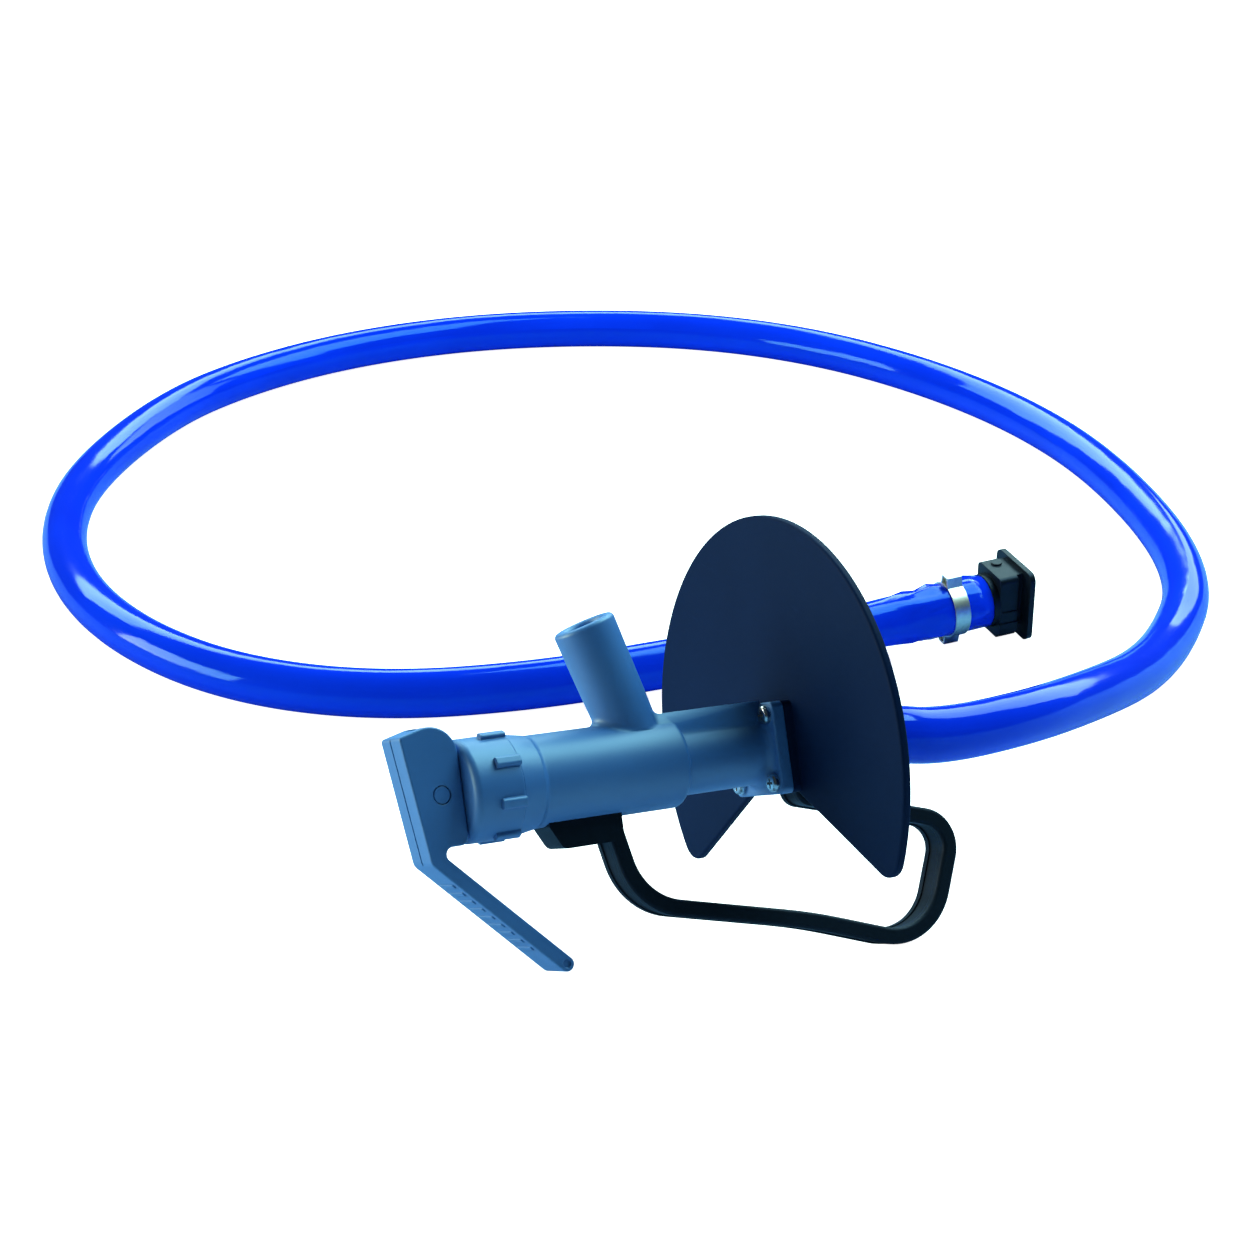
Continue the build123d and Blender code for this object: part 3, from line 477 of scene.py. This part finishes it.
def read_curve(curve):
    """The curve as a mesh."""
    carrier = bpy.data.objects.new("hose_route", curve)
    bpy.context.scene.collection.objects.link(carrier)
    mesh = bpy.data.meshes.new_from_object(carrier)
    bpy.data.objects.remove(carrier)
    return mesh


def smooth_share(value, low, high):
    """0 at low and 1 at high, with soft ends."""
    share = min(max((value - low) / (high - low), 0.0), 1.0)
    return share * share * (3 - 2 * share)


def hose_swell(hose, from_end, angle):
    """How far the hose's outside stands out from its plain radius, at that distance from its far end."""
    back = hose.stretch_length + hose.stretch_taper
    share = 1 - smooth_share(from_end, hose.stretch_length * FULL_WIDTH, back)
    clamp_far = hose.clamp_setback + hose.clamp_width
    off_clamp = max(1 - smooth_share(from_end, hose.clamp_setback - CLAMP_FADE, hose.clamp_setback),
                    smooth_share(from_end, clamp_far, clamp_far + CLAMP_FADE))
    round_hose = Vector((math.cos(angle), math.sin(angle), 0.0))
    crease = 0.0
    for depth, fine_round, shift, fine_along in WRINKLES:
        place = round_hose * fine_round + Vector((*shift, from_end * fine_along))
        crease += depth * noise.noise(place)
    wrinkled = share * off_clamp * smooth_share(from_end, WRINKLE_BEGIN, WRINKLE_WHOLE)
    return share * hose.stretch / 2 - CLAMP_ROOM * share + wrinkled * hose.wrinkle * crease


def add_hose_wall(mesh, curve, path, radius, swell):
    """Adds one wall of the hose to the mesh: the curve's own tube, moved out by swell, with its map."""
    curve.bevel_depth = radius
    wall = read_curve(curve)
    sides = len(wall.vertices) // len(path)
    travelled = [0.0]
    for before, after in zip(path, path[1:]):
        travelled.append(travelled[-1] + (after - before).length)
    for number, vertex in enumerate(wall.vertices):
        step, turn = divmod(number, sides)
        out = (vertex.co - path[step]).normalized()
        vertex.co += out * swell(travelled[-1] - travelled[step], 2 * math.pi * turn / sides)
    hose_map = wall.uv_layers.new(name=HOSE_MAP)
    for face in wall.polygons:
        turns = [wall.loops[loop].vertex_index % sides for loop in face.loop_indices]
        for loop, turn in zip(face.loop_indices, turns):
            step = wall.loops[loop].vertex_index // sides
            if turn == 0 and sides - 1 in turns:
                turn = sides
            hose_map.data[loop].uv = (turn / sides * 2 * math.pi * radius, travelled[step])
    mesh.from_mesh(wall)
    bpy.data.meshes.remove(wall)


def open_edges(mesh, near):
    """Edges of the mesh with one face, within a hose's width of that point."""
    return [edge for edge in mesh.edges
            if edge.is_boundary and (edge.verts[0].co - near).length < HOSE_REACH]


class HOSEGUN_OT_set_stage(bpy.types.Operator):
    """Sets the camera, the pale floor and the soft lights"""

    bl_idname = "hose_gun.set_stage"
    bl_label = "Set the Stage"

    def stand_camera(self):
        """Puts the camera where the photographer stood."""
        heading = math.radians(CAMERA_HEADING)
        dip = math.radians(CAMERA_DIP)
        level = math.cos(dip)
        ahead = Vector((math.sin(heading) * level, math.cos(heading) * level, -math.sin(dip)))
        lens = bpy.data.cameras.new("photo_camera")
        lens.lens = CAMERA_LENS
        lens.sensor_width = CAMERA_SENSOR
        lens.clip_end = CAMERA_REACH
        camera = bpy.data.objects.new("photo_camera", lens)
        camera.location = CAMERA_PLACE
        camera.rotation_mode = "QUATERNION"
        camera.rotation_quaternion = ahead.to_track_quat("-Z", "Y")
        bpy.context.scene.collection.objects.link(camera)
        bpy.context.scene.camera = camera

    def paint_floor(self, studio):
        """White paint: bright to the camera, dimmer in the light and the shine that it throws back."""
        paint = Finish("studio_floor", {"Roughness": 0.7, "Specular IOR Level": 0.1})
        cloudy = paint.grain(paint.place(), scale=1.4, detail=2.0)
        paint.colour(paint.blend(cloudy, studio.floor, shaded(studio.floor, 0.985)))
        ray = paint.node("ShaderNodeLightPath", {}, {}).outputs
        glow = paint.node("ShaderNodeEmission", {}, {"Color": WHITE, "Strength": studio.floor_glow})
        bright = paint.node("ShaderNodeAddShader", {}, {0: paint.shader.outputs[0], 1: glow.outputs[0]})
        bounce = (*[studio.floor_bounce] * 3, 1)
        dim = paint.node("ShaderNodeBsdfDiffuse", {}, {"Color": bounce})
        lift = paint.node("ShaderNodeEmission", {},
                          {"Color": FILL_COLOUR, "Strength": studio.floor_lift})
        below = paint.node("ShaderNodeAddShader", {}, {0: dim.outputs[0], 1: lift.outputs[0]})
        dull = paint.node("ShaderNodeBsdfDiffuse", {}, {"Color": (*studio.floor_mirror, 1)})
        upward = paint.node("ShaderNodeMixShader", {},
                            {0: ray["Is Glossy Ray"], 1: below.outputs[0], 2: dull.outputs[0]})
        shown = paint.node("ShaderNodeMixShader", {},
                           {0: ray["Is Camera Ray"], 1: upward.outputs[0], 2: bright.outputs[0]})
        paint.put(paint.tree.nodes["Material Output"].inputs["Surface"], shown.outputs[0])
        return paint.material

    def lay_floor(self, studio):
        """Lays the round floor."""
        mesh = bmesh.new()
        bmesh.ops.create_circle(mesh, cap_ends=True, segments=FLOOR_SIDES, radius=studio.floor_radius)
        floor_mesh = bpy.data.meshes.new("studio_floor")
        mesh.to_mesh(floor_mesh)
        mesh.free()
        floor = bpy.data.objects.new("studio_floor", floor_mesh)
        bpy.context.scene.collection.objects.link(floor)
        floor_mesh.materials.append(self.paint_floor(studio))

    def light_surroundings(self, studio):
        """A white backdrop to the camera, and a weak blue fill to everything else."""
        world = bpy.data.worlds.new("studio_white")
        world.use_nodes = True
        nodes, links = world.node_tree.nodes, world.node_tree.links
        sky = nodes["Background"]
        sky.inputs["Color"].default_value = FILL_COLOUR
        sky.inputs["Strength"].default_value = studio.surround
        backdrop = nodes.new("ShaderNodeBackground")
        backdrop.inputs["Strength"].default_value = 1.0
        backdrop.inputs["Color"].default_value = WHITE
        ray = nodes.new("ShaderNodeLightPath")
        either = nodes.new("ShaderNodeMixShader")
        links.new(ray.outputs["Is Camera Ray"], either.inputs[0])
        links.new(sky.outputs[0], either.inputs[1])
        links.new(backdrop.outputs[0], either.inputs[2])
        links.new(either.outputs[0], nodes["World Output"].inputs["Surface"])
        bpy.context.scene.world = world
        bpy.context.scene.view_settings.view_transform = "Standard"

    def hang_softbox(self, name, power):
        """Hangs one of the softboxes, with that power in watts."""
        place, aim, size, colour = SOFTBOXES[name]
        lamp = bpy.data.lights.new(name, "AREA")
        lamp.shape = "RECTANGLE"
        lamp.size, lamp.size_y = size
        lamp.energy = power
        lamp.color = colour
        light = bpy.data.objects.new(name, lamp)
        light.location = place
        light.rotation_mode = "QUATERNION"
        light.rotation_quaternion = (Vector(aim) - Vector(place)).to_track_quat("-Z", "Y")
        bpy.context.scene.collection.objects.link(light)

    def execute(self, context):
        studio = context.scene.hose_gun_studio
        self.stand_camera()
        self.lay_floor(studio)
        self.light_surroundings(studio)
        self.hang_softbox("left_softbox", studio.left_power)
        self.hang_softbox("top_softbox", studio.top_power)
        self.hang_softbox("right_softbox", studio.right_power)
        self.hang_softbox("back_softbox", studio.back_power)
        return {"FINISHED"}


class HOSEGUN_OT_mould_body(bpy.types.Operator):
    """Makes the body from a copy of its mesh, with a ring laid round the barrel to even it"""

    bl_idname = "hose_gun.mould_body"
    bl_label = "Mould the Body"

    def outline(self, barrel):
        """Length and radius of the ring's outside, from the collar's front to the shoulder."""
        line = [(barrel.collar_front, barrel.collar_front_radius),
                (barrel.collar_back, barrel.collar_back_radius)]
        straight_end = barrel.back - barrel.shoulder
        straight = straight_end - barrel.collar_back
        for step in range(barrel.steps + 1):
            share = step / barrel.steps
            line.append((barrel.collar_back + share * straight, barrel.radius))
        for step in range(1, SHOULDER_STEPS + 1):
            angle = math.pi / 2 * barrel.shoulder_turn * step / SHOULDER_STEPS
            line.append((straight_end + barrel.shoulder * math.sin(angle),
                         barrel.radius - barrel.shoulder * (1 - math.cos(angle))))
        return [(length, radius + barrel.proud) for length, radius in line]

    def carrier(self, name, mesh, place):
        """Links an object that carries the mesh, laid at that place."""
        bmesh.ops.recalc_face_normals(mesh, faces=mesh.faces)
        bmesh.ops.transform(mesh, matrix=place, verts=mesh.verts)
        data = bpy.data.meshes.new(name)
        mesh.to_mesh(data)
        mesh.free()
        carrier = bpy.data.objects.new(name, data)
        bpy.context.scene.collection.objects.link(carrier)
        return carrier

    def ring(self, barrel, place):
        """The ring: its outline, closed on the inside and spun round the barrel's axis."""
        line = self.outline(barrel)
        inner = barrel.radius - barrel.skin
        line += [(line[-1][0], inner), (line[0][0], inner)]
        mesh = bmesh.new()
        points = [mesh.verts.new((length, 0.0, radius)) for length, radius in line]
        edges = [mesh.edges.new(pair) for pair in zip(points, points[1:] + points[:1])]
        bmesh.ops.spin(mesh, geom=points + edges, cent=(0, 0, 0), axis=(1, 0, 0), angle=2 * math.pi,
                       steps=barrel.sides, use_merge=True)
        return self.carrier("barrel_ring", mesh, place)

    def openings(self, barrel, place):
        """What the ring leaves free: the throat under the spout and the holes of the pad's screws."""
        turn = Matrix.Rotation(-barrel.spout_lean, 4, "Y")
        up = Matrix.Translation((0, 0, barrel.radius))
        rods = [(Matrix.Translation((barrel.spout_start, 0, 0)) @ turn @ up, barrel.throat)]
        for length in (barrel.pad_screw, barrel.pad_screw + barrel.pad_screw_spacing):
            rods.append((Matrix.Translation((length, 0, -barrel.radius)), barrel.pad_hole))
        mesh = bmesh.new()
        for middle, radius in rods:
            bmesh.ops.create_cone(mesh, cap_ends=True, segments=OPENING_SIDES, radius1=radius,
                                  radius2=radius, depth=barrel.radius, matrix=middle)
        return self.carrier("ring_openings", mesh, place)

    def join(self, carrier, operation, other):
        """Cuts the other object from the carrier, or makes one of both."""
        change = carrier.modifiers.new(operation, "BOOLEAN")
        change.operation = operation
        change.solver = "EXACT"
        change.object = other

    def execute(self, context):
        barrel = context.scene.hose_gun_barrel
        place = gun_place()
        mesh = bmesh.new()
        mesh.from_mesh(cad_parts["valve_body"].data)
        bmesh.ops.remove_doubles(mesh, verts=mesh.verts, dist=MERGE_DISTANCE)
        body = self.carrier("body_copy", mesh, Matrix.Identity(4))
        ring = self.ring(barrel, place)
        openings = self.openings(barrel, place)
        self.join(ring, "DIFFERENCE", openings)
        self.join(body, "UNION", ring)
        moulded = bpy.data.meshes.new_from_object(
            body.evaluated_get(context.evaluated_depsgraph_get()))
        for carrier in (body, ring, openings):
            bpy.data.objects.remove(carrier)
        moulded.name = "body_moulding"
        moulded.shade_smooth()
        moulded.set_sharp_from_angle(angle=math.radians(SHARP_ANGLE))
        piece = bpy.data.objects.new("body_moulding", moulded)
        context.scene.collection.objects.link(piece)
        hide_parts("valve_body")
        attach(piece, "gun")
        return {"FINISHED"}


class HOSEGUN_OT_lay_hose(bpy.types.Operator):
    """Lays the blue hose from the tail round the floor to the connector"""

    bl_idname = "hose_gun.lay_hose"
    bl_label = "Lay the Hose"

    def execute(self, context):
        hose = context.scene.hose_gun_hose
        colours = context.scene.hose_gun_colours
        curve = hose_curve(hose)
        line = read_curve(curve)
        path = [vertex.co.copy() for vertex in line.vertices]
        bpy.data.meshes.remove(line)

        def outside(from_end, angle):
            return hose_swell(hose, from_end, angle)

        def inside(from_end, angle):
            back = hose.stretch_length + hose.stretch_taper
            return (1 - smooth_share(from_end, hose.stretch_length, back)) * hose.stretch / 2

        mesh = bmesh.new()
        add_hose_wall(mesh, curve, path, hose.diameter / 2, outside)
        add_hose_wall(mesh, curve, path, hose.bore / 2, inside)
        for end in (path[0], path[-1]):
            bmesh.ops.bridge_loops(mesh, edges=open_edges(mesh, end))
        bmesh.ops.recalc_face_normals(mesh, faces=mesh.faces)
        bpy.data.curves.remove(curve)
        for face in mesh.faces:
            face.smooth = True
        hose_mesh = bpy.data.meshes.new("blue_hose")
        mesh.to_mesh(hose_mesh)
        mesh.free()
        piece = bpy.data.objects.new("blue_hose", hose_mesh)
        context.scene.collection.objects.link(piece)

        vinyl = Finish("blue_vinyl",
                       {"IOR": 1.45, "Specular IOR Level": 0.34, "Specular Tint": VINYL_TINT})
        broad = vinyl.grain(vinyl.length_place((18, 7, 1)), scale=1.0, detail=2.0)
        streaks = vinyl.grain(vinyl.length_place((420, 5, 1)), scale=1.0, detail=2.0)
        vinyl.colour(vinyl.blend(broad.over(0.25, 0.75), colours.hose_deep, colours.hose))
        vinyl.roughness(0.05 + 0.05 * broad + 0.03 * streaks)
        waves = vinyl.grain(vinyl.length_place((45, 14, 1)), scale=1.0, detail=2.0)
        vinyl.relief(waves + 0.12 * streaks, depth=0.0006)
        hose_mesh.materials.append(vinyl.material)

        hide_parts("hose")
        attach(piece, "gun")
        return {"FINISHED"}


class HOSEGUN_OT_wind_spring(bpy.types.Operator):
    """Makes the return spring from a copy of its mesh, merged and smoothed"""

    bl_idname = "hose_gun.wind_spring"
    bl_label = "Wind the Spring"

    def execute(self, context):
        coil = bmesh.new()
        coil.from_mesh(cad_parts["return_spring"].data)
        bmesh.ops.remove_doubles(coil, verts=coil.verts, dist=MERGE_DISTANCE)
        bmesh.ops.recalc_face_normals(coil, faces=coil.faces)
        for face in coil.faces:
            face.smooth = True
        mesh = bpy.data.meshes.new("closing_spring")
        coil.to_mesh(mesh)
        coil.free()
        mesh.set_sharp_from_angle(angle=math.radians(SHARP_ANGLE))
        piece = bpy.data.objects.new("closing_spring", mesh)
        context.scene.collection.objects.link(piece)
        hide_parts("return_spring")
        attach(piece, "gun")
        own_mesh(piece)
        return {"FINISHED"}


class HOSEGUN_OT_finish_body(bpy.types.Operator):
    """Gives the body, cap, lever and pin their satin blue-grey plastic"""

    bl_idname = "hose_gun.finish_body"
    bl_label = "Finish the Body"

    def execute(self, context):
        colours = context.scene.hose_gun_colours
        plastic = Finish("blue_grey_plastic",
                         {"IOR": 1.5, "Specular IOR Level": 0.9, "Specular Tint": SKY_TINT})
        place = plastic.place()
        broad = plastic.grain(place, scale=16.0, detail=3.0)
        drawn = plastic.place(scale=(1, 1, 3))
        scuffs = plastic.grain(drawn, scale=90.0, detail=5.0, roughness=0.65).over(0.58, 0.78)
        spark = plastic.grain(place, scale=2400.0, detail=2.0)
        rubbed = 0.55 * broad.over(0.35, 0.75) + 0.25 * scuffs
        plastic.colour(plastic.blend(rubbed, colours.body, colours.body_rubbed))
        plastic.roughness(0.40 + 0.10 * broad + 0.05 * spark - 0.06 * scuffs)
        plastic.relief(spark + 0.3 * scuffs, depth=0.00003, soft_edge=0.0007)
        plastic.dress("body_moulding", "cap_nut", "lever", "lever_pin")
        return {"FINISHED"}


class HOSEGUN_OT_finish_shield(bpy.types.Operator):
    """Gives the splash shield its matt black plastic"""

    bl_idname = "hose_gun.finish_shield"
    bl_label = "Finish the Shield"

    def execute(self, context):
        colours = context.scene.hose_gun_colours
        black = Finish("matt_black_shield",
                       {"IOR": 1.4, "Specular IOR Level": 0.05, "Specular Tint": SKY_TINT})
        place = black.place()
        broad = black.grain(place, scale=9.0, detail=3.0)
        grain = black.grain(place, scale=1500.0, detail=2.0)
        wiped = black.place(scale=(1, 1, 5), turn=(0.4, 0, 0))
        marks = black.grain(wiped, scale=40.0, detail=6.0, roughness=0.7).over(0.6, 0.8)
        black.colour(black.blend(0.6 * broad + 0.2 * marks, colours.shield, shaded(colours.shield, 2.2)))
        black.roughness(0.42 + 0.14 * broad + 0.05 * grain - 0.05 * marks)
        black.relief(grain + 0.4 * marks, depth=0.00003, soft_edge=0.0006)
        black.dress("splash_shield")
        return {"FINISHED"}


class HOSEGUN_OT_finish_handle(bpy.types.Operator):
    """Gives the loop handle its black nylon"""

    bl_idname = "hose_gun.finish_handle"
    bl_label = "Finish the Handle"

    def execute(self, context):
        colours = context.scene.hose_gun_colours
        nylon = Finish("black_nylon",
                       {"IOR": 1.45, "Specular IOR Level": 0.22, "Specular Tint": NYLON_TINT})
        place = nylon.place()
        broad = nylon.grain(place, scale=22.0, detail=4.0)
        grain = nylon.grain(place, scale=1900.0, detail=2.0)
        worn = nylon.grain(place, scale=130.0, detail=5.0, roughness=0.7).over(0.58, 0.78)
        nylon.colour(nylon.blend(0.5 * broad + 0.3 * worn, colours.handle, shaded(colours.handle, 2.4)))
        nylon.roughness(0.38 + 0.15 * broad + 0.06 * grain)
        nylon.relief(grain + 0.4 * worn, depth=0.00004, soft_edge=0.0006)
        nylon.dress("handle")
        return {"FINISHED"}


class HOSEGUN_OT_finish_fittings(bpy.types.Operator):
    """Gives the connector and the hose tail their black plastic"""

    bl_idname = "hose_gun.finish_fittings"
    bl_label = "Finish the Fittings"

    def execute(self, context):
        colours = context.scene.hose_gun_colours
        plastic = Finish("black_fitting_plastic",
                         {"IOR": 1.4, "Specular IOR Level": 0.25, "Specular Tint": NYLON_TINT})
        place = plastic.place()
        broad = plastic.grain(place, scale=40.0, detail=3.0)
        grain = plastic.grain(place, scale=2200.0, detail=2.0)
        flow = plastic.grain(plastic.place(scale=(1, 6, 6)), scale=30.0, detail=3.0)
        plastic.colour(plastic.blend(0.6 * flow, colours.fitting, shaded(colours.fitting, 2.6)))
        plastic.roughness(0.30 + 0.14 * broad + 0.05 * grain)
        plastic.relief(grain + 0.5 * flow, depth=0.00003, soft_edge=0.0006)
        plastic.dress("connector", "hose_tail")
        return {"FINISHED"}


class HOSEGUN_OT_finish_clamps(bpy.types.Operator):
    """Gives the two hose clamps their zinc plate"""

    bl_idname = "hose_gun.finish_clamps"
    bl_label = "Finish the Clamps"

    def execute(self, context):
        colours = context.scene.hose_gun_colours
        zinc = Finish("zinc_plate", {"Metallic": 1.0})
        place = zinc.place()
        bloom = zinc.grain(place, scale=260.0, detail=4.0, roughness=0.6)
        rolled = zinc.grain(zinc.place(scale=(14, 1, 1)), scale=260.0, detail=2.0)
        zinc.colour(zinc.blend(bloom.over(0.3, 0.7), colours.zinc, shaded(colours.zinc, 0.82)))
        zinc.roughness(0.30 + 0.14 * bloom + 0.08 * rolled)
        zinc.relief(rolled + 0.4 * bloom, depth=0.00002, soft_edge=0.0003)
        zinc.dress("connector_clamp", "gun_clamp")
        return {"FINISHED"}


class HOSEGUN_OT_finish_fasteners(bpy.types.Operator):
    """Gives the screws, washers and nuts their bright plate"""

    bl_idname = "hose_gun.finish_fasteners"
    bl_label = "Finish the Fasteners"

    def execute(self, context):
        colours = context.scene.hose_gun_colours
        plate = Finish("bright_plate", {"Metallic": 1.0})
        place = plate.place()
        dull = plate.grain(place, scale=420.0, detail=4.0)
        polish = plate.grain(place, scale=3200.0, detail=2.0)
        plate.colour(plate.blend(dull.over(0.35, 0.75), colours.steel, shaded(colours.steel, 0.7)))
        plate.roughness(0.14 + 0.16 * dull + 0.05 * polish)
        plate.relief(polish + 0.5 * dull, depth=0.00001, soft_edge=0.0003)
        plate.dress("flange_screws", "flange_washers", "flange_nuts", "handle_screws")
        return {"FINISHED"}


class HOSEGUN_OT_finish_valve_works(bpy.types.Operator):
    """Gives the stem, cup, nut and spring their stainless steel, and the gland bush its white plastic"""

    bl_idname = "hose_gun.finish_valve_works"
    bl_label = "Finish the Valve Works"

    def execute(self, context):
        colours = context.scene.hose_gun_colours
        steel = Finish("turned_stainless", {"Metallic": 1.0})
        along_stem = steel.place(turn=(0, -math.radians(GUN_NOSE_UP), 0))
        turned = steel.rings(along_stem, scale=900.0, distortion=0.6)
        dull = steel.grain(steel.place(), scale=150.0, detail=4.0)
        greyed = shaded(colours.stainless, 0.78)
        steel.colour(steel.blend(dull.over(0.3, 0.8), colours.stainless, greyed))
        steel.roughness(0.22 + 0.12 * dull + 0.05 * turned)
        steel.relief(turned, depth=0.00001, soft_edge=0.0002)
        steel.dress("valve_stem", "plug_cup", "plug_nut", "closing_spring")

        white = Finish("white_bush_plastic", {"IOR": 1.48})
        place = white.place()
        broad = white.grain(place, scale=120.0, detail=3.0)
        fine = white.grain(place, scale=2500.0, detail=2.0)
        white.colour(white.blend(broad, colours.bush, shaded(colours.bush, 0.9)))
        white.roughness(0.36 + 0.1 * broad)
        white.relief(fine, depth=0.00001, soft_edge=0.0002)
        white.dress("gland_bush")
        return {"FINISHED"}


class HOSEGUN_OT_finish_seals(bpy.types.Operator):
    """Gives the plug, gasket and seals their black rubber"""

    bl_idname = "hose_gun.finish_seals"
    bl_label = "Finish the Seals"

    def execute(self, context):
        colours = context.scene.hose_gun_colours
        rubber = Finish("black_rubber", {"Specular IOR Level": 0.3})
        place = rubber.place()
        bloom = rubber.grain(place, scale=200.0, detail=4.0, roughness=0.6)
        skin = rubber.grain(place, scale=2600.0, detail=2.0)
        rubber.colour(rubber.blend(bloom.over(0.4, 0.8), colours.rubber, shaded(colours.rubber, 2.2)))
        rubber.roughness(0.62 + 0.16 * bloom)
        rubber.relief(skin, depth=0.00002, soft_edge=0.0002)
        rubber.dress("valve_plug", "gland_o_ring", "stem_seal", "tail_gasket", "connector_seal")
        return {"FINISHED"}


class HOSEGUN_PT_panel(bpy.types.Panel):
    """Sizes, colours and steps of the hose gun"""

    bl_idname = "HOSEGUN_PT_panel"
    bl_label = "Hose Gun"
    bl_space_type = "VIEW_3D"
    bl_region_type = "UI"
    bl_category = "Hose Gun"

    def draw(self, context):
        layout = self.layout
        for group in GROUPS:
            settings = getattr(context.scene, group)
            box = layout.box()
            for name in settings.__annotations__:
                box.prop(settings, name)
        for operator in OPERATORS:
            layout.operator(operator.bl_idname)


OPERATORS = (
    HOSEGUN_OT_set_stage,
    HOSEGUN_OT_lay_hose,
    HOSEGUN_OT_mould_body,
    HOSEGUN_OT_wind_spring,
    HOSEGUN_OT_finish_body,
    HOSEGUN_OT_finish_shield,
    HOSEGUN_OT_finish_handle,
    HOSEGUN_OT_finish_fittings,
    HOSEGUN_OT_finish_clamps,
    HOSEGUN_OT_finish_fasteners,
    HOSEGUN_OT_finish_valve_works,
    HOSEGUN_OT_finish_seals,
)
GROUPS = {
    "hose_gun_barrel": HoseGunBarrel,
    "hose_gun_spring": HoseGunSpring,
    "hose_gun_hose": HoseGunHose,
    "hose_gun_colours": HoseGunColours,
    "hose_gun_studio": HoseGunStudio,
}
CLASSES = (*GROUPS.values(), *OPERATORS, HOSEGUN_PT_panel)


def register():
    for cls in CLASSES:
        bpy.utils.register_class(cls)
    for name, group in GROUPS.items():
        setattr(bpy.types.Scene, name, bpy.props.PointerProperty(type=group))


def unregister():
    for name in GROUPS:
        delattr(bpy.types.Scene, name)
    for cls in reversed(CLASSES):
        bpy.utils.unregister_class(cls)


def main():
    """Registers the add-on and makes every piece."""
    register()
    bpy.ops.hose_gun.set_stage()
    bpy.ops.hose_gun.lay_hose()
    bpy.ops.hose_gun.mould_body()
    bpy.ops.hose_gun.wind_spring()
    bpy.ops.hose_gun.finish_body()
    bpy.ops.hose_gun.finish_shield()
    bpy.ops.hose_gun.finish_handle()
    bpy.ops.hose_gun.finish_fittings()
    bpy.ops.hose_gun.finish_clamps()
    bpy.ops.hose_gun.finish_fasteners()
    bpy.ops.hose_gun.finish_valve_works()
    bpy.ops.hose_gun.finish_seals()
    bpy.context.view_layer.update()


if __name__ == "__main__":
    main()
